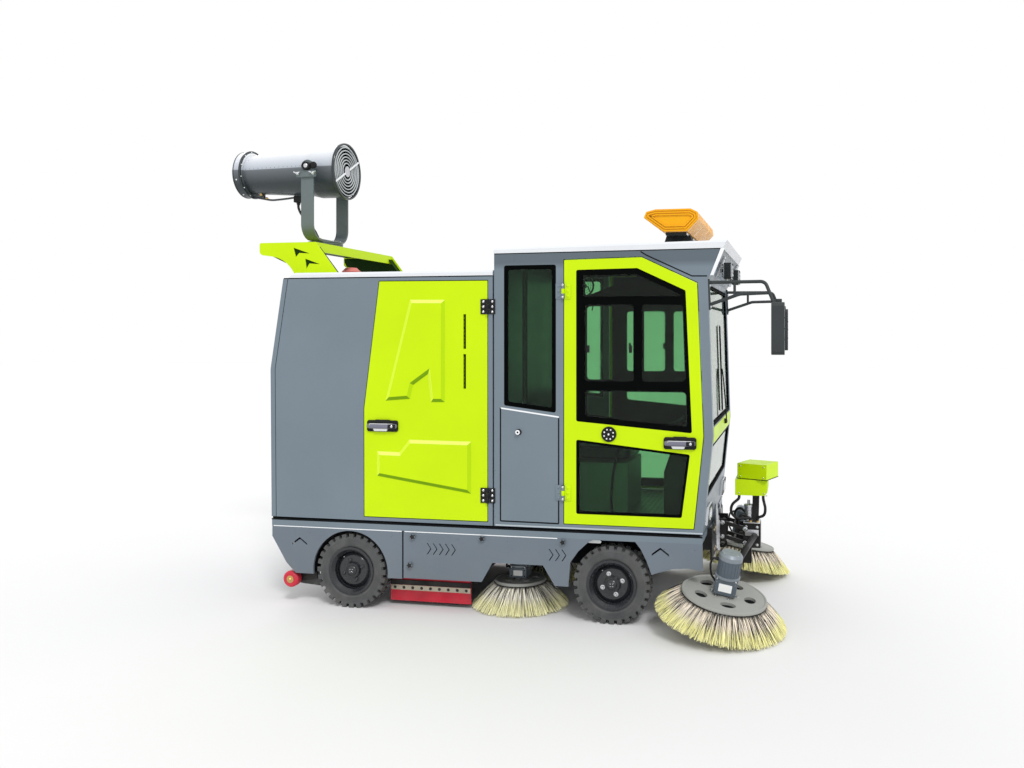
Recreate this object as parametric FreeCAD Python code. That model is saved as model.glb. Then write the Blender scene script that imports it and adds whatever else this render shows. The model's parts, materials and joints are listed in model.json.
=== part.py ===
import FreeCAD
import Part
import math
import os

# A compact four-wheel street sweeper truck with a closed cab, a closed body
# and a mist cannon on the roof. +X is forward, +Y is to its left, +Z is up.
# The origin is on the floor, under the middle of the whole outline. Sizes are
# in millimetres. Side outlines are given as (x from the front axle, z).

V = FreeCAD.Vector
AXIS_X, AXIS_Y, AXIS_Z = V(1, 0, 0), V(0, 1, 0), V(0, 0, 1)

# Running gaps
FIT = 0.3
DOOR_GAP = 5.0

# Overall layout
FRONT_AXLE_X = 908.0
WHEELBASE = 1680.0
BODY_W = 1350.0
HALF_W = BODY_W / 2

# Wheels
TYRE_OD = 466.0
TYRE_W = 112.0
TYRE_LUGS = 28
LUG_DEPTH = 20.0
LUG_LENGTH = 34.0
RIM_D = 284.0
RIM_WALL = 7.0
RIM_DISC_T = 9.0
WHEEL_INSET = 10.0
SPINDLE_R = 20.0
HUB_R = 46.0
WHEEL_Z = TYRE_OD / 2
WHEEL_Y = HALF_W - WHEEL_INSET - TYRE_W / 2

# Frame rails, deck and its edge
DECK_BOTTOM = 505.0
DECK_H = 40.0
DECK_SHEET = 6.0
DECK_TOP = DECK_BOTTOM + DECK_H
SILL_H = 15.0
SILL_INSET = 14.0
FLOOR_Z = DECK_TOP + SILL_H
RAIL_Y = 365.0
RAIL_W = 50.0
RAIL_BOTTOM = 405.0
RAIL_TOP = DECK_TOP - DECK_SHEET
RAIL_WALL = 5.0

# Skirts
SKIRT_T = 16.0
SKIRT_SEAM = 457.0
ARCH_GAP = 22.0
KNOB_R = 17.0
KNOB_H = 16.0
CHEVRON_PITCH = 40.0
CHEVRON_W = 24.0
CHEVRON_H = 70.0
CHEVRON_LINE = 7.0

# Axles and steering
KINGPIN_Y = 510.0
KINGPIN_R = 10.0
KNUCKLE_H = 68.0
YOKE_LUG = 15.0
BEAM_SIZE = 56.0
STEER_ARM = 130.0
TIE_ROD_R = 9.0
SPRING_W = 44.0
SPRING_HALF = 190.0
SPRING_PACK = 26.0
REAR_TUBE_R = 40.0

# Cab
CAB_WALL = 35.0
CAB_REAR = -728.0
CAB_TOP_REAR = 2220.0
ROOF_T = 33.0
KNEE_X = 605.0
KNEE_Z = 1132.0
GLASS_T = 6.0
FRONT_PANES = ((1184.0, 2020.0), (770.0, 1080.0))
FRONT_PANE_SIDE = 62.0
VENT_X = -12.0
VENT_Z = 1134.0
VENT_R = 44.0
VENT_H = 9.0
STEER_Y = 0.0
STEER_WHEEL_R = 180.0
STEER_RAKE_DEG = 32.0
EDGE_BEVEL = 12.0

# Rear body
BODY_FRONT = -738.0
BODY_WALL = 30.0
BODY_TOP = 2088.0
BODY_WALL_H = 1528.0
BODY_KNEE_Z = 1505.0
REAR_DOOR_T = 30.0
BODY_ROOF_T = 32.0
PRESSING_H = 10.0
PRESSING_BEVEL = 14.0
ROOF_CAP_X = -2030.0
ROOF_CAP_R = 64.0
ROOF_CAP_H = 84.0

# Hinges and handles
HINGE_PIN_R = 5.0
HINGE_KNUCKLE_R = 9.0
HINGE_LEAF_T = 4.0
HINGE_OUT = HINGE_KNUCKLE_R + 1.0
HINGE_LEAF_W = 46.0
HINGE_H = 92.0
CAB_HINGE_X = -292.0
CAB_HINGES = (730.0, 1940.0)
SIDE_HINGE_X = -767.0
SIDE_HINGES = (698.0, 1850.0)
SIDE_SLOTS = (1393.0, 1638.0)
SLOT_H = 213.0
REAR_HINGE_X = -2208.0
REAR_HINGES = (760.0, 1330.0)
PADDLE_PLATE_T = 8.0
PADDLE_REACH = 30.0

# Sweeping gear
ROLLER_X = -1200.0
ROLLER_R = 175.0
ROLLER_SHAFT_R = 16.0
CHAMBER_HALF_W = 535.0
CHAMBER_REAR = -1467.0
CHAMBER_FRONT = -978.0
FLAP_FRONT = -926.0
CHAMBER_SHEET = 6.0
CHAMBER_BOTTOM = 132.0
FLAP_BOTTOM = 30.0
FLAP_T = 8.0
MID_BRUSH_X = -655.0
MID_BRUSH_Y = 375.0
MID_DISC_R = 165.0
MID_TIP_R = 308.0
MID_DISC_Z = 150.0
FRONT_BRUSH_X = 668.0
FRONT_BRUSH_Y = 675.0
FRONT_DISC_R = 250.0
FRONT_TIP_R = 390.0
FRONT_BRISTLE_H = 128.0
BRUSH_PITCH = 10.5
BRUSH_ROLL = 6.5
DISC_T = 22.0
FRONT_TUFTS = 40
MID_TUFTS = 36
TUFT_SHARE = 0.84
TUFT_ROOT_T = 26.0
TUFT_TIP_T = 38.0
SHAFT_R = 14.0
SHAFT_STEP = 12.0
MOTOR_R = 66.0
MOTOR_H = 150.0
MOTOR_CAP = 12.0
GEARBOX_W = 130.0
GEARBOX_H = 84.0
ARM_R = 20.0
ARM_PLATE_T = 12.0
BUMPER_ROLLER_R = 52.0
BUMPER_ROLLER_W = 70.0
BUMPER_ROLLER_X = -2103.0
BUMPER_ROLLER_Z = 158.0

# Front brush lift
LINK_LENGTH = 150.0
LINK_DROP_DEG = 15.0
LINK_PIVOT_X = 610.0
LINK_PIVOT_Z = 470.0
LINK_SPACING = 90.0
LINK_R = 16.0
LINK_PIN_R = 8.0
LINK_HALF = 60.0
LINK_T = 14.0

COVER_LOW = 697.0
COVER_H = 100.0
COVER_TURN_DEG = -20.0

# Mist cannon
BRACKET_TOP = BODY_TOP + 240.0
CANNON_X = -2230.0
CANNON_Z = BRACKET_TOP + 557.0
BARREL_REAR = -2835.0
BARREL_FRONT = -2075.0
BARREL_R_FRONT = 182.0
BARREL_R_REAR = 135.0
BARREL_WALL = 8.0
NOZZLE_R = 165.0
NOZZLE_W = 62.0
GRILLE_R = 200.0
YOKE_HALF = 240.0
YOKE_T = 12.0
YOKE_W = 92.0
TRUNNION_R = 18.0
TURNTABLE_R = 120.0
TURNTABLE_H = 40.0
BRACKET_HALF_W = 560.0
BRACKET_T = 6.0
CLAMP_T = 14.0
PIPE_R = 7.0

# Lamps on the cab and the front hoses
LIGHT_BAR_HALF = 475.0
WORK_LAMP_Y = 325.0
HEAD_LAMP_Y = 500.0
HOSE_R = 9.0

# Towing eyes
TOW_EYE_R = 13.0
TOW_EYE_T = 16.0
TOW_EYE_REACH_FRONT = 34.0
TOW_EYE_REACH_REAR = 46.0


def ax(dx):
    """The x of a place given from the front axle."""
    return FRONT_AXLE_X + dx


def on_body(z):
    """A height on the rear body's walls, in proportion to the body's own height."""
    return FLOOR_Z + (z - FLOOR_Z) * (BODY_TOP - FLOOR_Z) / BODY_WALL_H


def box(x0, x1, y0, y1, z0, z1):
    return Part.makeBox(x1 - x0, y1 - y0, z1 - z0, V(x0, y0, z0))


def prism_xz(points, y0, y1, radius=0.0):
    """A side outline given from the front axle, extruded across, its corners rounded."""
    corners = [V(ax(x), y0, z) for x, z in points]
    face = Part.Face(Part.makePolygon(corners + corners[:1]))
    solid = face.extrude(V(0, y1 - y0, 0))
    if radius:
        solid = round_edges(solid, AXIS_Y, radius)
    return solid


def arc_prism_xz(path, y0, y1):
    """Like prism_xz, but an entry of two points is an arc that passes through the first."""
    edges = []
    last = path[0]
    for step in path[1:] + path[:1]:
        start = V(ax(last[0]), y0, last[1])
        if isinstance(step[0], tuple):
            via, last = step
            middle, end = V(ax(via[0]), y0, via[1]), V(ax(last[0]), y0, last[1])
            edges.append(Part.Arc(start, middle, end).toShape())
        else:
            last = step
            edges.append(Part.LineSegment(start, V(ax(last[0]), y0, last[1])).toShape())
    return Part.Face(Part.Wire(edges)).extrude(V(0, y1 - y0, 0))


def prism_yz(points, x0, x1):
    corners = [V(x0, y, z) for y, z in points]
    face = Part.Face(Part.makePolygon(corners + corners[:1]))
    return face.extrude(V(x1 - x0, 0, 0))


def prism_xy(points, z0, z1):
    corners = [V(x, y, z0) for x, y in points]
    face = Part.Face(Part.makePolygon(corners + corners[:1]))
    return face.extrude(V(0, 0, z1 - z0))


def round_edges(solid, direction, radius):
    """Rounds the straight edges that run along one direction."""
    picked = []
    for edge in solid.Edges:
        if len(edge.Vertexes) == 2:
            run = edge.Vertexes[1].Point.sub(edge.Vertexes[0].Point)
            if abs(abs(run.dot(direction)) - run.Length) < 1e-6:
                picked.append(edge)
    return solid.makeFillet(radius, picked)


def rod(start, end, radius):
    run = end.sub(start)
    return Part.makeCylinder(radius, run.Length, start, run)


def bent_rod(points, radius, bend):
    """A tube through points, its corners rounded to a bend radius."""
    edges = []
    last = points[0]
    for before, corner, after in zip(points, points[1:], points[2:]):
        back = before.sub(corner).normalize()
        ahead = after.sub(corner).normalize()
        half = back.getAngle(ahead) / 2
        reach = bend / math.tan(half)
        start = corner + back * reach
        end = corner + ahead * reach
        middle_way = (back + ahead).normalize()
        middle = corner + middle_way * (bend / math.sin(half) - bend)
        edges.append(Part.LineSegment(last, start).toShape())
        edges.append(Part.Arc(start, middle, end).toShape())
        last = end
    edges.append(Part.LineSegment(last, points[-1]).toShape())
    path = Part.Wire(edges)
    run = points[1].sub(points[0])
    ring = Part.Wire(Part.makeCircle(radius, points[0], run))
    return path.makePipeShell([ring], True, False)


def hose(points, radius):
    """A hose whose bends are as wide as the runs beside them allow."""
    edges = []
    last = points[0]
    for before, corner, after in zip(points, points[1:], points[2:]):
        reach = 0.45 * min(corner.sub(before).Length, after.sub(corner).Length)
        back = before.sub(corner).normalize()
        ahead = after.sub(corner).normalize()
        half = back.getAngle(ahead) / 2
        bend = reach * math.tan(half)
        middle = corner + (back + ahead).normalize() * (bend / math.sin(half) - bend)
        start, end = corner + back * reach, corner + ahead * reach
        edges.append(Part.LineSegment(last, start).toShape())
        edges.append(Part.Arc(start, middle, end).toShape())
        last = end
    edges.append(Part.LineSegment(last, points[-1]).toShape())
    ring = Part.Wire(Part.makeCircle(radius, points[0], points[1].sub(points[0])))
    return Part.Wire(edges).makePipeShell([ring], True, False)


def revolve(profile, centre, axis):
    """Turns (radius, distance along the axis) points about an axis."""
    side = V(0, 0, 1) if abs(axis.z) < 0.5 else V(1, 0, 0)
    corners = [centre + side * r + axis * a for r, a in profile]
    face = Part.Face(Part.makePolygon(corners + corners[:1]))
    return face.revolve(centre, axis, 360)


def fuse(shapes):
    joined = shapes[0]
    if len(shapes) > 1:
        joined = shapes[0].multiFuse(shapes[1:])
    return joined.removeSplitter()


def mirrored(shape):
    return shape.mirror(V(0, 0, 0), AXIS_Y)


def both_sides(shape):
    """The piece on the right, at minus Y, with its twin on the left."""
    return Part.makeCompound([shape, mirrored(shape)])


def inset(points, distance):
    """An outline moved inwards by a distance on every side."""
    area = sum(a[0] * b[1] - b[0] * a[1] for a, b in zip(points, points[1:] + points[:1]))
    turn = 1.0 if area > 0 else -1.0
    lines = []
    for (x0, z0), (x1, z1) in zip(points, points[1:] + points[:1]):
        length = math.hypot(x1 - x0, z1 - z0)
        nx, nz = -(z1 - z0) / length * turn, (x1 - x0) / length * turn
        lines.append((x0 + nx * distance, z0 + nz * distance, x1 - x0, z1 - z0))
    moved = []
    for first, second in zip(lines[-1:] + lines[:-1], lines):
        cross = first[2] * second[3] - first[3] * second[2]
        gap_x, gap_z = second[0] - first[0], second[1] - first[1]
        t = (gap_x * second[3] - gap_z * second[2]) / cross
        moved.append((first[0] + first[2] * t, first[1] + first[3] * t))
    return moved


# Side outlines
CAB_SIDE = [(CAB_REAR, FLOOR_Z), (CAB_REAR, CAB_TOP_REAR), (650.0, 2229.0), (587.0, 2070.0),
            (575.0, 2051.0), (KNEE_X, KNEE_Z), (545.0, FLOOR_Z)]
CAB_DOOR = [(-287.0, 592.0), (-287.0, CAB_TOP_REAR - 47), (185.0, CAB_TOP_REAR - 38), (512.0, CAB_TOP_REAR - 193),
            (549.0, KNEE_Z), (492.0, 592.0)]
DOOR_GLASS_UPPER = [(-213.0, 1207.0), (-213.0, CAB_TOP_REAR - 107), (158.0, CAB_TOP_REAR - 101),
                    (445.0, CAB_TOP_REAR - 236), (483.0, 1149.0)]
DOOR_GLASS_LOWER = [(-213.0, 653.0), (-213.0, 1098.0), (471.0, 1025.0), (422.0, 653.0)]
QUARTER_GLASS = [(-665.0, 1295.0), (-665.0, CAB_TOP_REAR - 74), (-338.0, CAB_TOP_REAR - 73), (-338.0, 1255.0)]
SIDE_DOOR = [(-1582.0, 585.0), (-1584.0, 1259.0), (-1481.0, 2058.0), (-772.0, 2055.0), (-772.0, 585.0)]
DOOR_PRESSINGS = (
    [(-1273.0, 1938.0), (-1051.0, 1936.0), (-1051.0, 1313.0), (-1134.0, 1312.0), (-1155.0, 1488.0),
     (-1259.0, 1415.0), (-1280.0, 1330.0), (-1435.0, 1317.0)],
    [(-1280.0, 1068.0), (-880.0, 1065.0), (-880.0, 755.0), (-1492.0, 845.0), (-1492.0, 991.0), (-1344.0, 988.0)])
BRACKET_ARROWS = (
    [(-2143.0, BRACKET_TOP - 35), (-2025.0, BRACKET_TOP - 75), (-2101.0, BRACKET_TOP - 70), (-2126.0, BRACKET_TOP - 97)],
    [(-2059.0, BRACKET_TOP - 108), (-1954.0, BRACKET_TOP - 145), (-2029.0, BRACKET_TOP - 140),
     (-2050.0, BRACKET_TOP - 175)])
LIGHT_BAR_END = [(286.0, 2352.0), (430.0, 2352.0), (500.0, 2425.0), (494.0, 2468.0), (450.0, 2490.0),
                 (235.0, 2490.0), (178.0, 2476.0), (163.0, 2440.0)]
SKIRT_KNOBS = ((-1255.0, 473.0), (-803.0, 480.0), (-1275.0, 294.0), (-293.0, 481.0))
REAR_DOOR_FACE = [(-2227.0, FLOOR_Z), (-2235.0, on_body(BODY_KNEE_Z)), (-2144.0, BODY_TOP)]


def tyre(x, side):
    """A block-shouldered tyre: a carcass with two rings of lugs."""
    outer = TYRE_OD / 2
    base = outer - LUG_DEPTH
    half = TYRE_W / 2
    centre = V(x, side * WHEEL_Y, WHEEL_Z)
    rim = RIM_D / 2
    profile = [(rim, -half + 12), (rim + 22, -half), (base - 12, -half + 3), (base, -half + 9),
               (base, -LUG_LENGTH / 2 + 4), (outer - 3, -LUG_LENGTH / 2 + 6), (outer - 3, LUG_LENGTH / 2 - 6),
               (base, LUG_LENGTH / 2 - 4), (base, half - 9), (base - 12, half - 3), (rim + 22, half), (rim, half - 12)]
    carcass = revolve(profile, centre, AXIS_Y)
    step = 2 * math.pi / TYRE_LUGS
    rings = []
    for hand in (-1, 1):
        points = []
        for lug in range(TYRE_LUGS):
            angle = lug * step + (step / 4 if hand > 0 else 0.0)
            for share, radius in ((-0.32, base - 6), (-0.27, outer), (0.27, outer), (0.32, base - 6)):
                turn = angle + share * step
                points.append(V(x + radius * math.sin(turn), 0, WHEEL_Z - radius * math.cos(turn)))
        face = Part.Face([Part.makePolygon(points + points[:1]),
                          Part.Wire(Part.makeCircle(rim + 30, V(x, 0, WHEEL_Z), AXIS_Y))])
        ring = face.extrude(V(0, LUG_LENGTH, 0))
        near_edge = -half + 3 if hand < 0 else half - 3 - LUG_LENGTH
        rings.append(ring.translated(V(0, centre.y + near_edge, 0)))
    return fuse([carcass] + rings)


def rim(x, side):
    """A steel rim with its dished centre, bored for the spindle."""
    outer = RIM_D / 2 - FIT
    half = TYRE_W / 2
    well = outer - 16
    out = side
    profile = [(outer, -half + 12), (outer, -half + 6), (outer + 9, -half + 2), (outer + 9, -half - 1),
               (outer - 6, -half - 1), (well - RIM_WALL, -half + 20), (well - RIM_WALL, half - 20),
               (outer - 6, half + 1), (outer + 9, half + 1), (outer + 9, half - 2), (outer, half - 6),
               (outer, half - 12)]
    centre = V(x, side * WHEEL_Y, WHEEL_Z)
    barrel = revolve(profile, centre, AXIS_Y)
    disc_at = 14.0
    disc = revolve([(SPINDLE_R + FIT, disc_at), (SPINDLE_R + FIT, disc_at + 26), (HUB_R, disc_at + 26),
                    (HUB_R + 6, disc_at + RIM_DISC_T), (92.0, disc_at + RIM_DISC_T), (well - 4, disc_at - 14),
                    (well - 4, disc_at - 14 - RIM_DISC_T), (90.0, disc_at)], centre, AXIS_Y * out)
    return fuse([barrel, disc])


def bead_trim(shape, x, side):
    """Clears the rim's flange space from the tyre's bead."""
    outer = RIM_D / 2
    half = TYRE_W / 2
    centre = V(x, side * WHEEL_Y, WHEEL_Z)
    for hand in (-1, 1):
        ring = revolve([(outer - 1, hand * (half - 12)), (outer + 9 + FIT, hand * (half - 12)),
                        (outer + 9 + FIT, hand * (half + 4)), (outer - 1, hand * (half + 4))], centre, AXIS_Y)
        shape = shape.cut(ring)
    return shape


def front_axle():
    """A beam with a forked yoke and kingpin at each end."""
    x = ax(0)
    half = BEAM_SIZE / 2
    inner = KINGPIN_Y - 32
    yoke_h = KNUCKLE_H / 2 + YOKE_LUG
    beam = box(x - half, x + half, -inner, inner, WHEEL_Z - half, WHEEL_Z + half)
    parts = [beam]
    for side in (-1, 1):
        y0, y1 = sorted((side * inner, side * (inner - 12)))
        parts.append(box(x - half, x + half, y0, y1, WHEEL_Z - yoke_h, WHEEL_Z + yoke_h))
        for low, high in ((-yoke_h, -KNUCKLE_H / 2), (KNUCKLE_H / 2, yoke_h)):
            y0, y1 = sorted((side * (inner - 6), side * KINGPIN_Y))
            parts.append(box(x - 24, x + 24, y0, y1, WHEEL_Z + low, WHEEL_Z + high))
            parts.append(Part.makeCylinder(24, high - low, V(x, side * KINGPIN_Y, WHEEL_Z + low)))
        parts.append(Part.makeCylinder(KINGPIN_R, 2 * yoke_h, V(x, side * KINGPIN_Y, WHEEL_Z - yoke_h)))
    return fuse(parts)


def knuckle(side):
    """The steered upright with its spindle and steering arm."""
    x = ax(0)
    half = KNUCKLE_H / 2 - FIT
    y = side * KINGPIN_Y
    low = WHEEL_Z - half
    hub = Part.makeCylinder(20, 2 * half, V(x, y, low))
    y0, y1 = sorted((y, side * (KINGPIN_Y + 26)))
    block = box(x - 18, x + 18, y0, y1, low + 6, low + 2 * half - 6)
    flange_y = side * (KINGPIN_Y + 24)
    flange = Part.makeCylinder(34, 8, V(x, flange_y, WHEEL_Z), AXIS_Y * side)
    tip = WHEEL_Y + 48
    spindle = Part.makeCylinder(SPINDLE_R, tip - KINGPIN_Y - 20, V(x, side * (KINGPIN_Y + 20), WHEEL_Z), AXIS_Y * side)
    arm = box(x - STEER_ARM, x, y - 13, y + 13, low, low + 14)
    arm_end = Part.makeCylinder(16, 14, V(x - STEER_ARM, y, low))
    whole = fuse([hub, block, flange, spindle, arm, arm_end])
    bore = Part.makeCylinder(KINGPIN_R + FIT, 2 * half + 2, V(x, y, low - 1))
    eye = Part.makeCylinder(TIE_ROD_R + FIT, 16, V(x - STEER_ARM, y, low - 1))
    return whole.cut(bore).cut(eye)


def tie_rod():
    """The rod that joins the two steering arms, with a ball stud at each end."""
    x = ax(-STEER_ARM)
    arm_low = WHEEL_Z - KNUCKLE_H / 2 + FIT
    rod_z = arm_low - 14
    parts = [rod(V(x, -KINGPIN_Y, rod_z), V(x, KINGPIN_Y, rod_z), 11)]
    for side in (-1, 1):
        y = side * KINGPIN_Y
        parts.append(Part.makeCylinder(17, 26, V(x, y, rod_z - 13)))
        parts.append(Part.makeCylinder(TIE_ROD_R, 34, V(x, y, rod_z)))
    return fuse(parts)


def rear_axle():
    """The driven axle: tube, final-drive housing, motor and stub spindles."""
    x = ax(-WHEELBASE)
    end = WHEEL_Y - 42
    tip = WHEEL_Y + 48
    tube = rod(V(x, -end, WHEEL_Z), V(x, end, WHEEL_Z), REAR_TUBE_R)
    spindles = rod(V(x, -tip, WHEEL_Z), V(x, tip, WHEEL_Z), SPINDLE_R)
    housing = revolve([(0, -95), (52, -95), (98, -48), (98, 48), (52, 95), (0, 95)], V(x, 0, WHEEL_Z), AXIS_Y)
    motor = Part.makeCylinder(72, 150, V(x, 150, WHEEL_Z), AXIS_Y)
    flanges = [Part.makeCylinder(56, 10, V(x, side * end, WHEEL_Z), AXIS_Y * -side) for side in (-1, 1)]
    return fuse([tube, spindles, housing, motor] + flanges)


def leaf_spring(x, y, seat_z):
    """A leaf pack hung from two hangers under a rail, seated on its axle."""
    half_w = SPRING_W / 2
    top = RAIL_BOTTOM - 34
    sag_z = seat_z + SPRING_PACK
    ends = SPRING_HALF
    upper = Part.Arc(V(x - ends, y, top), V(x, y, sag_z), V(x + ends, y, top)).toShape()
    lower = Part.Arc(V(x - ends, y, top - 10), V(x, y, sag_z - SPRING_PACK), V(x + ends, y, top - 10)).toShape()
    left = Part.LineSegment(V(x - ends, y, top - 10), V(x - ends, y, top)).toShape()
    right = Part.LineSegment(V(x + ends, y, top), V(x + ends, y, top - 10)).toShape()
    face = Part.Face(Part.Wire(Part.__sortEdges__([upper, right, lower, left])))
    leaf = face.extrude(V(0, SPRING_W, 0)).translated(V(0, -half_w, 0))
    parts = [leaf]
    for end in (-1, 1):
        place = x + end * (ends - 8)
        parts.append(box(place - 18, place + 18, y - half_w, y + half_w, top - 14, RAIL_BOTTOM))
    return fuse(parts)


def leaf_springs():
    packs = []
    for x, seat_z in ((ax(0), WHEEL_Z + BEAM_SIZE / 2), (ax(-WHEELBASE), WHEEL_Z + REAR_TUBE_R)):
        packs.append(leaf_spring(x, -RAIL_Y, seat_z + FIT))
    return both_sides(Part.makeCompound(packs))


def chassis_frame():
    """Two box rails with cross members, a front lift bracket and tow eyes."""
    rear, front = ax(-2080), ax(560)
    rail = box(rear, front, -RAIL_Y - RAIL_W / 2, -RAIL_Y + RAIL_W / 2, RAIL_BOTTOM, RAIL_TOP)
    hollow = box(rear - 1, front + 1, -RAIL_Y - RAIL_W / 2 + RAIL_WALL, -RAIL_Y + RAIL_W / 2 - RAIL_WALL,
                 RAIL_BOTTOM + RAIL_WALL, RAIL_TOP - RAIL_WALL)
    rail = rail.cut(hollow)
    parts = [rail, mirrored(rail)]
    inner = RAIL_Y - RAIL_W / 2
    for x in (-2050.0, -1500.0, -900.0, -360.0, 330.0):
        parts.append(box(ax(x) - 25, ax(x) + 25, -inner, inner, RAIL_TOP - 60, RAIL_TOP))
    nose = box(front, front + 12, -inner - RAIL_W, inner + RAIL_W, RAIL_BOTTOM - 60, RAIL_TOP)
    parts.append(nose)
    tail = box(rear - 12, rear, -HALF_W + 40, HALF_W - 40, BUMPER_ROLLER_Z + 60, RAIL_TOP)
    parts.append(tail)
    for side in (-1, 1):
        y = side * (HALF_W - 75)
        y0, y1 = sorted((y - 5, y + 5))
        web = prism_xz([(-2095, 430), (-2095, BUMPER_ROLLER_Z + 20), (-2130, BUMPER_ROLLER_Z + 22),
                        (-2130, BUMPER_ROLLER_Z - 24), (-2070, BUMPER_ROLLER_Z - 24), (-1950, BUMPER_ROLLER_Z - 5),
                        (-1950, BUMPER_ROLLER_Z + 60), (-2020, 430)], y0, y1)
        parts.append(web)
        pin = Part.makeCylinder(12, 75 - 8, V(ax(BUMPER_ROLLER_X), side * (HALF_W - 75), BUMPER_ROLLER_Z), AXIS_Y * side)
        parts.append(pin)
    parts.extend(lift_bracket(front + 12))
    parts.append(tow_eye(front + 12, TOW_EYE_REACH_FRONT, RAIL_BOTTOM - 40))
    parts.append(tow_eye(rear - 12, -TOW_EYE_REACH_REAR, BUMPER_ROLLER_Z + 100))
    return fuse(parts)


def tow_eye(x, reach, z):
    """A thick plate with a bore, standing out of an end plate."""
    half = TOW_EYE_T / 2
    x0, x1 = sorted((x, x + reach))
    plate = box(x0, x1, -half, half, z - 30, z + 30)
    nose = Part.makeCylinder(30, TOW_EYE_T, V(x + reach, -half, z), AXIS_Y)
    bore = Part.makeCylinder(TOW_EYE_R, TOW_EYE_T + 2, V(x + reach, -half - 1, z), AXIS_Y)
    return plate.fuse(nose).cut(bore)


def lift_bracket(face_x):
    """Two ears on the nose plate that carry the lift links."""
    parts = []
    for side in (-1, 1):
        y0, y1 = sorted((side * (LINK_HALF + LINK_T + 6), side * (LINK_HALF + LINK_T + 16)))
        parts.append(box(face_x, ax(LINK_PIVOT_X) + 24, y0, y1, LINK_PIVOT_Z - LINK_SPACING / 2 - 26,
                         LINK_PIVOT_Z + LINK_SPACING / 2 + 26))
    reach = LINK_HALF + LINK_T + 16
    for offset in (-LINK_SPACING / 2, LINK_SPACING / 2):
        parts.append(rod(V(ax(LINK_PIVOT_X), -reach, LINK_PIVOT_Z + offset),
                         V(ax(LINK_PIVOT_X), reach, LINK_PIVOT_Z + offset), LINK_PIN_R))
    return parts


def link_end(offset):
    """The far pivot of a lift link, at the height of its own pivot."""
    angle = math.radians(LINK_DROP_DEG)
    return V(ax(LINK_PIVOT_X) + LINK_LENGTH * math.cos(angle), 0,
             LINK_PIVOT_Z + offset - LINK_LENGTH * math.sin(angle))


def lift_link(offset):
    """A pair of bars with an eye at each end, joined by a cross tube."""
    start = V(ax(LINK_PIVOT_X), 0, LINK_PIVOT_Z + offset)
    end = link_end(offset)
    bars = []
    for side in (-1, 1):
        y0 = min(side * LINK_HALF, side * (LINK_HALF + LINK_T))
        bar = box(0, LINK_LENGTH, y0, y0 + LINK_T, -LINK_R + 4, LINK_R - 4)
        bar = fuse([bar] + [Part.makeCylinder(LINK_R, LINK_T, V(place, y0, 0), AXIS_Y) for place in (0, LINK_LENGTH)])
        for place in (0, LINK_LENGTH):
            bar = bar.cut(Part.makeCylinder(LINK_PIN_R + FIT, LINK_T + 2, V(place, y0 - 1, 0), AXIS_Y))
        bars.append(bar)
    tie = rod(V(LINK_LENGTH / 2, -LINK_HALF - 2, 0), V(LINK_LENGTH / 2, LINK_HALF + 2, 0), 9)
    whole = fuse(bars + [tie])
    whole.rotate(V(0, 0, 0), AXIS_Y, LINK_DROP_DEG)
    return whole.translated(start)


def carriage():
    """The block on the links, with an arm out to each front brush motor."""
    low, high = link_end(-LINK_SPACING / 2), link_end(LINK_SPACING / 2)
    block = box(low.x - 14, low.x + 96, -LINK_HALF + 6, LINK_HALF - 6, low.z - 34, high.z + 34)
    parts = [block]
    for end in (low, high):
        parts.append(rod(V(end.x, -LINK_HALF - LINK_T - 4, end.z), V(end.x, LINK_HALF + LINK_T + 4, end.z), LINK_PIN_R))
    mast_x = LINK_PIVOT_X + LINK_LENGTH + 36
    mast = prism_xz([(mast_x, high.z), (mast_x + 4, COVER_LOW), (mast_x + 46, COVER_LOW), (mast_x + 40, high.z)], -30, 30)
    column = box(low.x - 12, low.x + 38, -28, 28, low.z - 140, low.z)
    parts.extend([mast, column])
    for side in (-1, 1):
        root = V(low.x + 60, side * (LINK_HALF - 10), (low.z + high.z) / 2)
        knee = V(low.x + 20, side * 330, root.z - 20)
        saddle_y = -side * (GEARBOX_W / 2 + FIT)
        y0, y1 = sorted((saddle_y, saddle_y - side * ARM_PLATE_T))
        saddle = box(-46, 46, y0, y1, gearbox_low() + 8, gearbox_low() + GEARBOX_H - 8)
        tip = on_brush(side).multVec(V(0, saddle_y - side * ARM_PLATE_T / 2, gearbox_low() + GEARBOX_H / 2))
        beyond = sorted((saddle_y, -saddle_y))
        gearbox_room = box(-GEARBOX_W, GEARBOX_W, beyond[0], beyond[1], gearbox_low(), gearbox_low() + GEARBOX_H)
        arm = bent_rod([root, knee, tip], ARM_R, 80).cut(placed_on_axis(gearbox_room, side))
        parts.extend([arm, placed_on_axis(saddle, side)])
    return fuse(parts)


def brush_axis(side):
    """The leaning axis of a front brush, upwards."""
    pitch, roll = math.radians(BRUSH_PITCH), math.radians(BRUSH_ROLL)
    return V(math.sin(pitch) * math.cos(roll), side * math.sin(roll), math.cos(pitch) * math.cos(roll))


def on_brush(side):
    """The placement that stands a shape on a front brush's disc."""
    return FreeCAD.Placement(brush_hub(side), FreeCAD.Rotation(AXIS_Z, brush_axis(side)))


def gearbox_low():
    return DISC_T + SHAFT_STEP


def brush_hub(side):
    """The middle of a front brush's disc, low enough for its lowest tips to meet the floor."""
    axis = brush_axis(side)
    lean = math.sqrt(1 - axis.z * axis.z)
    height = FRONT_BRISTLE_H * axis.z + FRONT_TIP_R * lean + 1.0
    return V(ax(FRONT_BRUSH_X), side * FRONT_BRUSH_Y, height)


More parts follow.
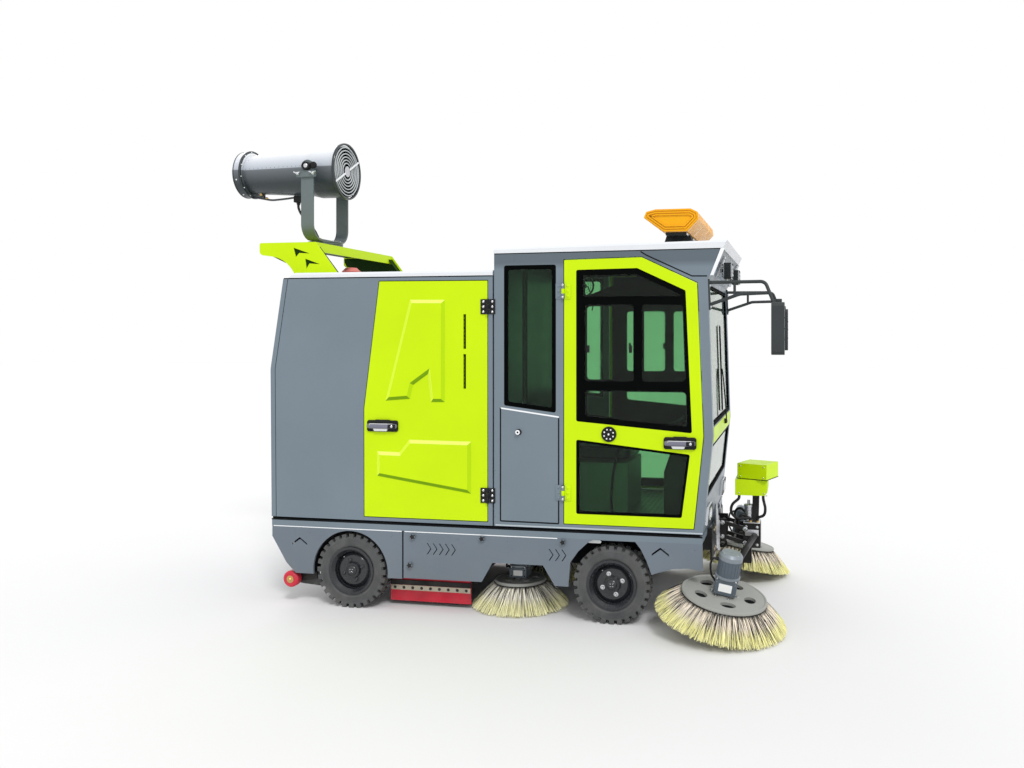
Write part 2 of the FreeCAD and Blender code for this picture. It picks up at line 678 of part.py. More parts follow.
def front_motor(side):
    """A geared brush motor: a round case on a square gearbox, with its shaft."""
    half = GEARBOX_W / 2
    low = gearbox_low()
    gearbox = round_edges(Part.makeBox(GEARBOX_W, GEARBOX_W, GEARBOX_H, V(-half, -half, low)), AXIS_Z, 12)
    top = low + GEARBOX_H + MOTOR_H
    case = revolve([(0, low + GEARBOX_H), (MOTOR_R, low + GEARBOX_H), (MOTOR_R, top - MOTOR_CAP),
                    (MOTOR_R - MOTOR_CAP, top), (0, top)], V(0, 0, 0), AXIS_Z)
    collar = Part.makeCylinder(MOTOR_R + 5, 10, V(0, 0, low + GEARBOX_H))
    shaft = Part.makeCylinder(SHAFT_R, low + 1, V(0, 0, 0))
    return placed_on_axis(fuse([gearbox, case, collar, shaft]), side)


def placed_on_axis(shape, side):
    moved = shape.copy()
    moved.Placement = on_brush(side)
    return moved


def brush_disc(radius, bore):
    """A flat brush plate with a rolled rim and lightening holes."""
    profile = [(bore, 0), (radius - 10, 0), (radius, 6), (radius, DISC_T - 8), (radius - 8, DISC_T),
               (radius - 26, DISC_T - 4), (bore, DISC_T - 4)]
    disc = revolve(profile, V(0, 0, 0), AXIS_Z)
    for hole in range(5):
        angle = 2 * math.pi * hole / 5
        reach = radius * 0.56
        disc = disc.cut(Part.makeCylinder(radius * 0.15, DISC_T + 2, V(reach * math.cos(angle), reach * math.sin(angle), -1)))
    return disc


def tufts(root_r, tip_r, height, count):
    """The flared ring of bristle tufts set in a brush plate, with gaps that widen to the tips."""
    half = math.pi / count * TUFT_SHARE
    loops = []
    for outer, thick, z in ((root_r, TUFT_ROOT_T, 3.0), (tip_r, TUFT_TIP_T, -height)):
        corners = [V(r * math.cos(a), r * math.sin(a), z)
                   for r, a in ((outer - thick, -half), (outer, -half), (outer, half), (outer - thick, half))]
        loops.append(Part.makePolygon(corners + corners[:1]))
    tuft = Part.makeLoft(loops, True, True)
    ring = []
    for index in range(count):
        copy = tuft.copy()
        copy.rotate(V(0, 0, 0), AXIS_Z, 360.0 * index / count)
        ring.append(copy)
    return ring


def front_brush(side):
    """A front brush: its plate with the bristles set in it."""
    plate = brush_disc(FRONT_DISC_R, SHAFT_R + FIT)
    bristles = tufts(FRONT_DISC_R - 12, FRONT_TIP_R, FRONT_BRISTLE_H, FRONT_TUFTS)
    return placed_on_axis(fuse([plate] + bristles), side)


def mid_brush(side):
    """A brush under the middle of the truck, turning about an upright axis."""
    plate = brush_disc(MID_DISC_R, SHAFT_R + FIT)
    bristles = tufts(MID_DISC_R - 12, MID_TIP_R, MID_DISC_Z - 2, MID_TUFTS)
    return fuse([plate] + bristles).translated(V(ax(MID_BRUSH_X), side * MID_BRUSH_Y, MID_DISC_Z))


def mid_hangers():
    """The two mid brush motors, each hung on a bracket under a rail."""
    x = ax(MID_BRUSH_X)
    y = -MID_BRUSH_Y
    lift = MID_DISC_Z + DISC_T + 10
    gearbox = box(x - 55, x + 55, y - 55, y + 55, lift, lift + 60)
    case = Part.makeCylinder(52, 90, V(x, y, lift + 60))
    shaft = Part.makeCylinder(SHAFT_R, DISC_T + 11, V(x, y, MID_DISC_Z))
    arm = box(x - 70, x + 70, y - 6, y + 6, lift + 60, RAIL_BOTTOM)
    return both_sides(fuse([gearbox, case, shaft, arm]))


def brush_chamber():
    """The open-bottomed box round the roller brush."""
    w = CHAMBER_HALF_W
    t = CHAMBER_SHEET
    top = RAIL_BOTTOM
    x0, x1 = ax(CHAMBER_REAR), ax(CHAMBER_FRONT)
    roof = box(x0, x1, -w, w, top - t, top)
    rear = box(x0, x0 + t, -w, w, CHAMBER_BOTTOM, top)
    front = box(x1 - t, x1, -w, w, CHAMBER_BOTTOM, top)
    parts = [roof, rear, front]
    for side in (-1, 1):
        y0, y1 = sorted((side * w, side * (w - t)))
        parts.append(box(x0, ax(FLAP_FRONT), y0, y1, CHAMBER_BOTTOM, top - 60))
        parts.append(box(x0, x1, y0, y1, CHAMBER_BOTTOM, top))
    whole = fuse(parts)
    bore = rod(V(ax(ROLLER_X), -w - 1, ROLLER_R + 3), V(ax(ROLLER_X), w + 1, ROLLER_R + 3), ROLLER_SHAFT_R + FIT)
    return whole.cut(bore)


def side_flaps():
    """The rubber skirts at the chamber's sides, each with its clamp strip."""
    w = CHAMBER_HALF_W
    x0, x1 = ax(CHAMBER_REAR), ax(FLAP_FRONT)
    flap = box(x0, x1, -w - FLAP_T, -w, FLAP_BOTTOM, CHAMBER_BOTTOM + 30)
    return both_sides(flap)


def clamp_strips():
    w = CHAMBER_HALF_W + FLAP_T
    strip = box(ax(CHAMBER_REAR), ax(FLAP_FRONT), -w - 4, -w, CHAMBER_BOTTOM, CHAMBER_BOTTOM + 30)
    return both_sides(strip)


def roller_brush():
    """The wide drum brush on its shaft."""
    length = CHAMBER_HALF_W - CHAMBER_SHEET - 14
    x, z = ax(ROLLER_X), ROLLER_R + 3
    drum = rod(V(x, -length, z), V(x, length, z), ROLLER_R)
    shaft = rod(V(x, -CHAMBER_HALF_W - 2, z), V(x, CHAMBER_HALF_W + 2, z), ROLLER_SHAFT_R)
    return fuse([drum, shaft])


def bumper_roller(side):
    """A rubber kerb roller on its pin behind the body."""
    profile = [(12 + FIT, 0), (BUMPER_ROLLER_R - 8, 0), (BUMPER_ROLLER_R, 8), (BUMPER_ROLLER_R, 48),
               (BUMPER_ROLLER_R - 8, 56), (12 + FIT, 56)]
    start = V(ax(BUMPER_ROLLER_X), side * (HALF_W - 68), BUMPER_ROLLER_Z)
    return revolve(profile, start, AXIS_Y * side)


def deck():
    """The pressed platform: a sheet with a deep edge, and the sill under the panels."""
    x0, x1 = ax(-2224), ax(543)
    plate = box(x0, x1, -HALF_W, HALF_W, DECK_BOTTOM, DECK_TOP)
    under = box(x0 + 8, x1 - 8, -HALF_W + 8, HALF_W - 8, DECK_BOTTOM - 1, DECK_TOP - DECK_SHEET)
    sill = box(x0 + SILL_INSET, x1 - SILL_INSET, -HALF_W + SILL_INSET, HALF_W - SILL_INSET, DECK_TOP, FLOOR_Z)
    plate = plate.cut(under)
    for side in (-1, 1):
        y0, y1 = sorted((side * (RAIL_Y - RAIL_W / 2 - FIT), side * (RAIL_Y + RAIL_W / 2 + FIT)))
        plate = plate.cut(box(x1 - 9, x1 + 1, y0, y1, DECK_BOTTOM - 1, RAIL_TOP))
    return fuse([plate, sill])


REAR_SKIRT = [(-2222, DECK_BOTTOM), (-2222, 434), (-2122, 269), (-2057, 205), (-1326, 205), (-1326, DECK_BOTTOM)]
MAIN_SKIRT = [(-1320, DECK_BOTTOM), (-1320, 211), (-809, 213), (-740, 333), (-419, 334), (-345, 214),
              (-262, 214), (-250, 359), (-203, 426), (-137, 488), (-109, 501), (146, 501), (178, 461),
              (214, 391), (244, 311), (276, 323), (367, 351), (457, 359), (547, 349), (543, DECK_BOTTOM)]


def chevron(x, z, width, height, line):
    """A thin chevron slot that points forward."""
    half = height / 2
    points = [(x, z + half), (x + line, z + half), (x + width + line, z), (x + line, z - half), (x, z - half),
              (x + width, z)]
    return prism_xz(points, -HALF_W - 1, -HALF_W + SKIRT_T + 1)


def up_chevron(x, z, width, height, line):
    """A chevron slot that points up."""
    half = width / 2
    points = [(x - half, z), (x, z + height), (x + half, z), (x + half, z - line), (x, z + height - line), (x - half, z - line)]
    return prism_xz(points, -HALF_W - 1, -HALF_W + SKIRT_T + 1)


def skirt():
    """The right-hand skirt panels with their arches and chevron slots."""
    panels = [prism_xz(outline, -HALF_W, -HALF_W + SKIRT_T) for outline in (REAR_SKIRT, MAIN_SKIRT)]
    arch = Part.makeCylinder(TYRE_OD / 2 + ARCH_GAP, SKIRT_T + 2, V(ax(-WHEELBASE), -HALF_W - 1, WHEEL_Z), AXIS_Y)
    rear = panels[0].cut(arch).cut(up_chevron(-2029, 396, 104, 38, 13))
    main = panels[1].cut(up_chevron(296, 436, 104, 38, 13))
    for first, count in ((-1166, 5), (-384, 3)):
        for index in range(count):
            main = main.cut(chevron(first + CHEVRON_PITCH * index, 400, CHEVRON_W, CHEVRON_H, CHEVRON_LINE))
    knobs = []
    for x, z in SKIRT_KNOBS:
        knobs.append(Part.makeCylinder(KNOB_R - 6, KNOB_H / 2, V(ax(x), -HALF_W, z), -AXIS_Y))
        knobs.append(Part.makeCylinder(KNOB_R, KNOB_H / 2, V(ax(x), -HALF_W - KNOB_H / 2, z), -AXIS_Y))
    seam = box(ax(SKIRT_SEAM), ax(SKIRT_SEAM) + FIT, -HALF_W - 1, -HALF_W + SKIRT_T + 1, 0, DECK_BOTTOM + 1)
    return Part.makeCompound([rear] + fuse([main] + knobs).cut(seam).Solids)


def wall_cut(points, radius=0.0):
    """A cutter that goes through both side walls."""
    return prism_xz(points, -HALF_W - 20, HALF_W + 20, radius)


def hinge_pair(x, z, fixed_way, side):
    """One hinge on the outside of a side wall: (fixed half, moving half)."""
    y = side * (HALF_W + HINGE_OUT)
    third = HINGE_H / 3
    leaf_y = sorted((side * HALF_W, side * (HALF_W + HINGE_LEAF_T)))
    fixed = [Part.makeCylinder(HINGE_PIN_R, HINGE_H, V(x, y, z))]
    for low in (z, z + 2 * third):
        fixed.append(Part.makeCylinder(HINGE_KNUCKLE_R, third, V(x, y, low)))
        ends = sorted((x, x + fixed_way * HINGE_LEAF_W))
        fixed.append(box(ends[0], ends[1], leaf_y[0], leaf_y[1], low, low + third))
    clear = HINGE_KNUCKLE_R + 2
    ends = sorted((x + fixed_way * clear, x + fixed_way * HINGE_LEAF_W))
    fixed.append(box(ends[0], ends[1], leaf_y[0], leaf_y[1], z, z + HINGE_H))
    low, high = z + third + FIT, z + 2 * third - FIT
    ends = sorted((x, x - fixed_way * HINGE_LEAF_W))
    moving = fuse([Part.makeCylinder(HINGE_KNUCKLE_R, high - low, V(x, y, low)),
                   box(ends[0], ends[1], leaf_y[0], leaf_y[1], low, high)])
    moving = moving.cut(Part.makeCylinder(HINGE_PIN_R + FIT, HINGE_H, V(x, y, z)))
    return fuse(fixed), moving


def paddle_handle(x, z, length, side):
    """A recessed-look paddle handle standing on a door."""
    y0, y1 = sorted((side * HALF_W, side * (HALF_W + PADDLE_PLATE_T)))
    plate = round_edges(box(ax(x), ax(x) + length, y0, y1, z - 34, z + 34), AXIS_Y, 16)
    y0, y1 = sorted((side * (HALF_W + PADDLE_PLATE_T - 1), side * (HALF_W + PADDLE_REACH)))
    grip = round_edges(box(ax(x) + 24, ax(x) + length - 24, y0, y1, z - 14, z + 14), AXIS_X, 9)
    return plate.fuse(grip)


def cab_shell():
    """The cab's side walls, pillars, floor and front and rear walls, open for doors and glass."""
    outer = prism_xz(CAB_SIDE, -HALF_W, HALF_W)
    inner_side = inset(CAB_SIDE, CAB_WALL)
    inner_side = [(x, FLOOR_Z + 20) if z < FLOOR_Z + CAB_WALL + 1 else (x, z) for x, z in inner_side]
    top = [(x, z + 300) if z > 2150 else (x, z) for x, z in inner_side]
    inner = prism_xz(top, -HALF_W + CAB_WALL, HALF_W - CAB_WALL)
    shell = outer.cut(inner)
    shell = shell.cut(wall_cut(inset(CAB_DOOR, -DOOR_GAP), 4))
    shell = shell.cut(wall_cut(QUARTER_GLASS, 14))
    half = HALF_W - FRONT_PANE_SIDE
    for low, high in FRONT_PANES:
        shell = shell.cut(box(ax(440), ax(700), -half, half, low, high))
    fixed = [hinge_pair(ax(CAB_HINGE_X), z, -1, side)[0] for z in CAB_HINGES for side in (-1, 1)]
    return fuse([shell] + fixed)


def front_line(z):
    """The x of the cab's front face at a height, from the front axle."""
    if z >= KNEE_Z:
        return KNEE_X + (575.0 - KNEE_X) * (z - KNEE_Z) / (2051.0 - KNEE_Z)
    return 545.0 + (KNEE_X - 545.0) * (z - FLOOR_Z) / (KNEE_Z - FLOOR_Z)


def visor_line(z):
    """The x of the visor's front face at a height, from the front axle."""
    return 587.0 + (650.0 - 587.0) * (z - 2070.0) / (2229.0 - 2070.0)


def cab_glazing():
    """Windscreen, lower front pane and the two rear quarter panes."""
    panes = []
    half = HALF_W - FRONT_PANE_SIDE - FIT
    for low, high in FRONT_PANES:
        back = 12.0
        corners = [(front_line(low) - back, low + FIT), (front_line(high) - back, high - FIT),
                   (front_line(high) - back - GLASS_T, high - FIT), (front_line(low) - back - GLASS_T, low + FIT)]
        panes.append(prism_xz(corners, -half, half))
    quarter = inset(QUARTER_GLASS, FIT)
    pane = prism_xz(quarter, -HALF_W + 6, -HALF_W + 6 + GLASS_T, 14)
    return Part.makeCompound(panes + [pane, mirrored(pane)])


def bevelled(slab, width):
    """Bevels a slab's two highest long edges."""
    top = [edge for edge in slab.Edges
           if abs(edge.Vertexes[0].Point.y - edge.Vertexes[-1].Point.y) < 1e-6 and edge.Length > 1000
           and edge.CenterOfMass.z > slab.CenterOfMass.z]
    return slab.makeChamfer(width, top)


def cab_roof():
    """The roof panel with bevelled edges and a nose that overhangs the visor."""
    rear = CAB_REAR - 4
    points = [(rear, CAB_TOP_REAR), (rear, CAB_TOP_REAR + ROOF_T), (687, 2276), (662, 2229), (650, 2229)]
    return bevelled(prism_xz(points, -HALF_W, HALF_W), EDGE_BEVEL)


def cab_door(side):
    """A framed cab door with two window openings, hinges and handle."""
    y0, y1 = sorted((side * HALF_W, side * (HALF_W - CAB_WALL)))
    panel = prism_xz(CAB_DOOR, y0, y1, 3)
    for pane in (DOOR_GLASS_UPPER, DOOR_GLASS_LOWER):
        panel = panel.cut(wall_cut(pane, 12))
    moving = [hinge_pair(ax(CAB_HINGE_X), z, -1, side)[1] for z in CAB_HINGES]
    vent = Part.makeCylinder(VENT_R, VENT_H, V(ax(VENT_X), side * HALF_W, VENT_Z), AXIS_Y * side)
    return fuse([panel, vent, paddle_handle(318, 1090, 190, side)] + moving)


def door_glass(side):
    panes = []
    for outline in (DOOR_GLASS_UPPER, DOOR_GLASS_LOWER):
        y0, y1 = sorted((side * (HALF_W - 6), side * (HALF_W - 6 - GLASS_T)))
        panes.append(prism_xz(inset(outline, FIT), y0, y1, 12))
    return Part.makeCompound(panes)


def rear_line(z):
    """The x of the body's rear face at a height, from the front axle."""
    (x0, z0), (x1, z1), (x2, z2) = REAR_DOOR_FACE
    if z <= z1:
        return x0 + (x1 - x0) * (z - z0) / (z1 - z0)
    return x1 + (x2 - x1) * (z - z1) / (z2 - z1)


def body_profile(shift):
    """The body's side outline, its rear edge moved forward by a distance."""
    rear = [(rear_line(z) + shift, z) for z in (FLOOR_Z, on_body(BODY_KNEE_Z), BODY_TOP)]
    return rear + [(BODY_FRONT, BODY_TOP), (BODY_FRONT, FLOOR_Z)]


def body_shell():
    """The rear body: side panels, floor and front wall, open for its doors."""
    outer = prism_xz(body_profile(REAR_DOOR_T + DOOR_GAP), -HALF_W, HALF_W)
    front = BODY_FRONT - BODY_WALL
    inner = prism_xz([(-2400, FLOOR_Z + 20), (-2400, BODY_TOP + 50), (front, BODY_TOP + 50), (front, FLOOR_Z + 20)],
                     -HALF_W + BODY_WALL, HALF_W - BODY_WALL)
    doorway = [(x, on_body(z)) for x, z in SIDE_DOOR]
    shell = outer.cut(inner).cut(wall_cut(inset(doorway, -DOOR_GAP), 4))
    fixed = [hinge_pair(ax(SIDE_HINGE_X), z, 1, side)[0] for z in map(on_body, SIDE_HINGES) for side in (-1, 1)]
    fixed += [hinge_pair(ax(REAR_HINGE_X), z, 1, 1)[0] for z in map(on_body, REAR_HINGES)]
    return fuse([shell] + fixed)


def body_roof():
    """The rear body's roof panel with its bevelled rear edge."""
    points = [(-2110, BODY_TOP), (-2066, BODY_TOP + BODY_ROOF_T), (BODY_FRONT, BODY_TOP + BODY_ROOF_T),
              (BODY_FRONT, BODY_TOP)]
    return bevelled(prism_xz(points, -HALF_W, HALF_W), EDGE_BEVEL)


def roof_cap():
    """The domed filler cap in the middle of the body roof."""
    low = BODY_TOP + BODY_ROOF_T + FIT
    r, h = ROOF_CAP_R, ROOF_CAP_H
    profile = [(0, 0), (r, 0), (r, h * 0.45), (r * 0.9, h * 0.72), (r * 0.62, h * 0.93), (0, h)]
    return revolve(profile, V(ax(ROOF_CAP_X), 0, low), AXIS_Z)


def pressing(outline, side):
    """A raised field with sloping edges, standing on a side wall."""
    loops = []
    for points, out in ((outline, -1.0), (inset(outline, PRESSING_BEVEL), PRESSING_H)):
        corners = [V(ax(x), side * (HALF_W + out), z) for x, z in points]
        loops.append(Part.makePolygon(corners + corners[:1]))
    return Part.makeLoft(loops, True, True)


def side_door(side):
    """A body side door with its two raised panels and ventilation slots."""
    y0, y1 = sorted((side * HALF_W, side * (HALF_W - BODY_WALL)))
    panel = prism_xz([(x, on_body(z)) for x, z in SIDE_DOOR], y0, y1, 3)
    moving = [hinge_pair(ax(SIDE_HINGE_X), z, 1, side)[1] for z in map(on_body, SIDE_HINGES)]
    for bottom in SIDE_SLOTS:
        low, high = on_body(bottom), on_body(bottom + SLOT_H)
        panel = panel.cut(prism_xz([(-927, low), (-927, high), (-909, high), (-909, low)], -HALF_W - 20, HALF_W + 20))
    raised = [pressing([(x, on_body(z)) for x, z in outline], side) for outline in DOOR_PRESSINGS]
    return fuse([panel, paddle_handle(-1560, on_body(1155), 205, side)] + raised + moving)


def rear_door():
    """The full-height rear door, bent at the body's knee line, hinged on the left."""
    outer = [(rear_line(z), z) for z in (FLOOR_Z, on_body(BODY_KNEE_Z), BODY_TOP - 4)]
    inner = [(x + REAR_DOOR_T, z) for x, z in reversed(outer)]
    panel = prism_xz(outer + inner, -HALF_W, HALF_W)
    moving = [hinge_pair(ax(REAR_HINGE_X), z, 1, 1)[1] for z in map(on_body, REAR_HINGES)]
    grip_x = ax(rear_line(on_body(1150)))
    handle = box(grip_x - 24, grip_x + 2, -HALF_W + 60, -HALF_W + 96, on_body(1060), on_body(1240))
    return fuse([panel, round_edges(handle, AXIS_Z, 8)] + moving)


def cannon_bracket():
    """The swept stand on the body roof: two side plates and a folded top."""
    base = BODY_TOP + BODY_ROOF_T
    x = CANNON_X
    path = [(-2136, base), ((-2195, base + 74), (-2300, base + 118)), (-2362, base + 126), ((-2382, base + 138),
            (-2388, base + 160)), (-2388, BRACKET_TOP - 12), ((-2384, BRACKET_TOP - 4), (-2376, BRACKET_TOP)),
            (-1985, BRACKET_TOP), (-1826, base)]
    side_plate = arc_prism_xz(path, -BRACKET_HALF_W, -BRACKET_HALF_W + BRACKET_T)
    for arrow in BRACKET_ARROWS:
        side_plate = side_plate.cut(prism_xz(arrow, -BRACKET_HALF_W - 1, -BRACKET_HALF_W + BRACKET_T + 1))
    top = box(ax(-2376), ax(-1985), -BRACKET_HALF_W, BRACKET_HALF_W, BRACKET_TOP - BRACKET_T, BRACKET_TOP)
    lip = box(ax(-1985) - BRACKET_T, ax(-1985), -BRACKET_HALF_W, BRACKET_HALF_W, BRACKET_TOP - 60, BRACKET_TOP)
    foot = box(ax(-2136), ax(-1826), -BRACKET_HALF_W, -BRACKET_HALF_W + 60, base, base + BRACKET_T)
    pedestal = Part.makeCylinder(TURNTABLE_R + 20, 16, V(ax(x), 0, BRACKET_TOP))
    spigot = Part.makeCylinder(22, 16 + 20, V(ax(x), 0, BRACKET_TOP))
    return fuse([side_plate, mirrored(side_plate), top, lip, foot, mirrored(foot), pedestal, spigot])


def cannon_yoke():
    """The turning fork that carries the barrel between its trunnions."""
    x = ax(CANNON_X)
    low = BRACKET_TOP + 16 + FIT
    table = Part.makeCylinder(TURNTABLE_R, TURNTABLE_H, V(x, 0, low))
    half = YOKE_W / 2
    outer = YOKE_HALF + YOKE_T / 2
    inner = YOKE_HALF - YOKE_T / 2
    bend = 110.0
    base = low + TURNTABLE_H
    solid = prism_yz([(-outer, CANNON_Z), (-outer, base), (outer, base), (outer, CANNON_Z)], x - half, x + half)
    solid = round_lower(solid, bend, base)
    hollow = prism_yz([(-inner, CANNON_Z + 100), (-inner, base + YOKE_T), (inner, base + YOKE_T), (inner, CANNON_Z + 100)],
                      x - half - 1, x + half + 1)
    hollow = round_lower(hollow, bend - YOKE_T, base + YOKE_T)
    strip = solid.cut(hollow)
    parts = [table, strip]
    for side in (-1, 1):
        y0, y1 = sorted((side * inner, side * outer))
        parts.append(Part.makeCylinder(half, YOKE_T, V(x, y0, CANNON_Z), AXIS_Y))
        y0, y1 = sorted((side * (outer - 1), side * (outer + CLAMP_T)))
        clamp = round_edges(box(x - 76, x + 68, y0, y1, CANNON_Z - 74, CANNON_Z - 30), AXIS_Y, 8)
        parts.append(clamp)
    whole = fuse(parts)
    bore = rod(V(x, -outer - 1, CANNON_Z), V(x, outer + 1, CANNON_Z), TRUNNION_R + FIT)
    seat = Part.makeCylinder(22 + FIT, 21, V(x, 0, low - 1))
    return whole.cut(bore).cut(seat)


def round_lower(solid, radius, low):
    """Rounds the two bottom edges that run along X."""
    picked = []
    for edge in solid.Edges:
        a, b = edge.Vertexes[0].Point, edge.Vertexes[-1].Point
        if abs(a.z - low) < 1e-6 and abs(b.z - low) < 1e-6 and abs(a.y - b.y) < 1e-6:
            picked.append(edge)
    return solid.makeFillet(radius, picked)


def barrel_radius(x):
    share = (x - BARREL_REAR) / (BARREL_FRONT - BARREL_REAR)
    return BARREL_R_REAR + (BARREL_R_FRONT - BARREL_R_REAR) * share


def cannon_barrel():
    """The tapered air duct with its nozzle ring and trunnions."""
    start = V(ax(BARREL_REAR), 0, CANNON_Z)
    length = BARREL_FRONT - BARREL_REAR
    w = BARREL_WALL
    profile = [(BARREL_R_REAR - w, 0), (BARREL_R_REAR, 0), (barrel_radius(BARREL_FRONT - 240), length - 240),
               (BARREL_R_FRONT, length - 180), (BARREL_R_FRONT, length), (BARREL_R_FRONT - w, length),
               (BARREL_R_FRONT - w, length - 184), (barrel_radius(BARREL_FRONT - 244) - w, length - 244)]
    duct = revolve(profile, start, AXIS_X)
    ring = revolve([(BARREL_R_REAR - 20, -28), (NOZZLE_R, -28), (NOZZLE_R, NOZZLE_W - 28), (NOZZLE_R - 16, NOZZLE_W - 20),
                    (BARREL_R_REAR - 2, NOZZLE_W - 20), (BARREL_R_REAR - 2, 0), (BARREL_R_REAR - 20, 0)], start, AXIS_X)
    parts = [duct, ring]
    local = barrel_radius(CANNON_X)
    outer = YOKE_HALF + YOKE_T / 2
    for side in (-1, 1):
        base = V(ax(CANNON_X), side * (local - 12), CANNON_Z)
        parts.append(Part.makeCylinder(TRUNNION_R, outer + 14 - local + 12, base, AXIS_Y * side))
        parts.append(Part.makeCylinder(40, YOKE_HALF - YOKE_T / 2 - 5 - local + 12, base, AXIS_Y * side))
    whole = fuse(parts)
    bore = revolve([(0, 0), (BARREL_R_REAR - w, 0), (barrel_radius(BARREL_FRONT - 244) - w, length - 244), (0, length - 244)],
                   start, AXIS_X)
    hub = Part.makeCylinder(55, 90, V(ax(BARREL_FRONT) - 150, 0, CANNON_Z), AXIS_X)
    whole = whole.cut(bore)
    struts = []
    for turn in range(3):
        spoke = box(-4, 4, 40, BARREL_R_FRONT - w + 2, -4, 4)
        spoke = spoke.translated(V(ax(BARREL_FRONT) - 120, 0, CANNON_Z))
        spoke.rotate(V(ax(BARREL_FRONT) - 120, 0, CANNON_Z), AXIS_X, 120 * turn + 90)
        struts.append(spoke)
    rear = BARREL_REAR
    pipe = hose([V(ax(rear + 20), 0, CANNON_Z - NOZZLE_R + 8), V(ax(rear + 110), 0, CANNON_Z - NOZZLE_R - 8),
                 V(ax(rear + 180), 0, CANNON_Z - NOZZLE_R - 22), V(ax(rear + 300), 0, CANNON_Z - NOZZLE_R - 14),
                 V(ax(rear + 390), 0, CANNON_Z - NOZZLE_R - 4)], PIPE_R)
    clips = [box(ax(rear + 96), ax(rear + 124), -9, 9, CANNON_Z - NOZZLE_R - 6, CANNON_Z - barrel_radius(rear + 96) + 3),
             box(ax(rear + 370), ax(rear + 420), -20, 20, CANNON_Z - NOZZLE_R - 22, CANNON_Z - barrel_radius(rear + 370) + 5)]
    return fuse([whole, hub, pipe] + clips + struts)


def cannon_fan():
    """The axial fan wheel inside the duct's inlet."""
    x = ax(BARREL_FRONT) - 55
    hub = Part.makeCylinder(48, 40, V(x - 5 + FIT, 0, CANNON_Z), AXIS_X)
    blades = []
    for turn in range(6):
        blade = box(-14, 14, 44, BARREL_R_FRONT - BARREL_WALL - 6, -2.5, 2.5)
        blade.rotate(V(0, 0, 0), AXIS_Y, 32)
        blade = blade.translated(V(x + 15, 0, CANNON_Z))
        blade.rotate(V(x + 15, 0, CANNON_Z), AXIS_X, 60 * turn)
        blades.append(blade)
    return fuse([hub] + blades)


def cannon_grille():
    """The guard of rings and bars over the duct's inlet."""
    x = ax(BARREL_FRONT)
    frame = revolve([(BARREL_R_FRONT + 0, 0), (GRILLE_R, 0), (GRILLE_R, 14), (GRILLE_R - 8, 18), (BARREL_R_FRONT - 12, 18),
                     (BARREL_R_FRONT - 12, FIT), (BARREL_R_FRONT, FIT)], V(x, 0, CANNON_Z), AXIS_X)
    parts = [frame]
    for ring in range(6):
        radius = 30 + ring * 24
        parts.append(revolve([(radius, 8), (radius + 5, 8), (radius + 5, 13), (radius, 13)], V(x, 0, CANNON_Z), AXIS_X))
    for turn in range(4):
        bar = box(x + 6, x + 10, -BARREL_R_FRONT + 6, BARREL_R_FRONT - 6, CANNON_Z - 4, CANNON_Z + 4)
        bar.rotate(V(x, 0, CANNON_Z), AXIS_X, 45 * turn)
        parts.append(bar)
    return fuse(parts)


def roof_height(x):
    """The height of the cab roof's top over a place given from the front axle."""
    rear = CAB_REAR - 4
    return CAB_TOP_REAR + ROOF_T + (2276 - CAB_TOP_REAR - ROOF_T) * (x - rear) / (687 - rear)


def light_bar():
    """The warning light bar across the cab roof, on its base channel and two feet."""
    bar = prism_xz(LIGHT_BAR_END, -LIGHT_BAR_HALF, LIGHT_BAR_HALF, 10)
    low = LIGHT_BAR_END[0][1]
    channel = box(ax(296), ax(420), -LIGHT_BAR_HALF + 25, LIGHT_BAR_HALF - 25, low - 18, low + 1)
    parts = [bar, channel]
    for side in (-1, 1):
        y0, y1 = sorted((side * 250, side * 340))
        foot = [(262, roof_height(262) + FIT), (286, low - 10), (430, low - 10), (454, roof_height(454) + FIT)]
        parts.append(prism_xz(foot, y0, y1))
    return fuse(parts)


def mirrors():
    """The two outside mirrors on their tube arms."""
    y = -HALF_W + 20
    foot_line = [(front_line(z) + FIT, z) for z in (1870, 2050)]
    foot = prism_xz(foot_line + [(x + 9, z) for x, z in reversed(foot_line)], y - 16, y + 16)
    upper = bent_rod([V(ax(front_line(2030) + 4), y, 2030), V(ax(905), y - 40, 2030), V(ax(965), y - 70, 1880)], 10, 40)
    lower = bent_rod([V(ax(front_line(1900) + 4), y, 1900), V(ax(760), y - 20, 1960), V(ax(935), y - 52, 1965)], 10, 60)
    strut = rod(V(ax(730), y - 17, 1950), V(ax(730), y - 17, 2030), 8)
    head = round_edges(box(ax(945), ax(1015), y - 150, y + 20, 1612, 1908), AXIS_X, 24)
    return both_sides(fuse([foot, upper, lower, strut, head]))


def front_lamps():
    """Two lamps under the visor on small brackets, and two headlamps low on the front wall."""
    y = -WORK_LAMP_Y
    back = [(visor_line(z) + FIT, z) for z in (2078, 2205)]
    bracket = prism_xz(back + [(x + 10, z) for x, z in reversed(back)], y - 24, y + 24)
    stub = box(ax(visor_line(2120) + 6), ax(648), y - 12, y + 12, 2108, 2132)
    lamp = round_edges(box(ax(642), ax(692), y - 60, y + 60, 2069, 2165), AXIS_X, 14)
    face = [(front_line(z) + FIT, z) for z in (598, 706)]
    y = -HEAD_LAMP_Y
    head = round_edges(prism_xz(face + [(x + 16, z) for x, z in reversed(face)], y - 92, y + 92), AXIS_Y, 5)
    return both_sides(Part.makeCompound([fuse([bracket, stub, lamp]), head]))


def tail_lamps():
    """The two lamp clusters on the rear of the deck edge."""
    lamp = box(ax(-2236), ax(-2224), -HALF_W + 60, -HALF_W + 200, DECK_BOTTOM + 2, DECK_TOP - 2)
    return both_sides(lamp)


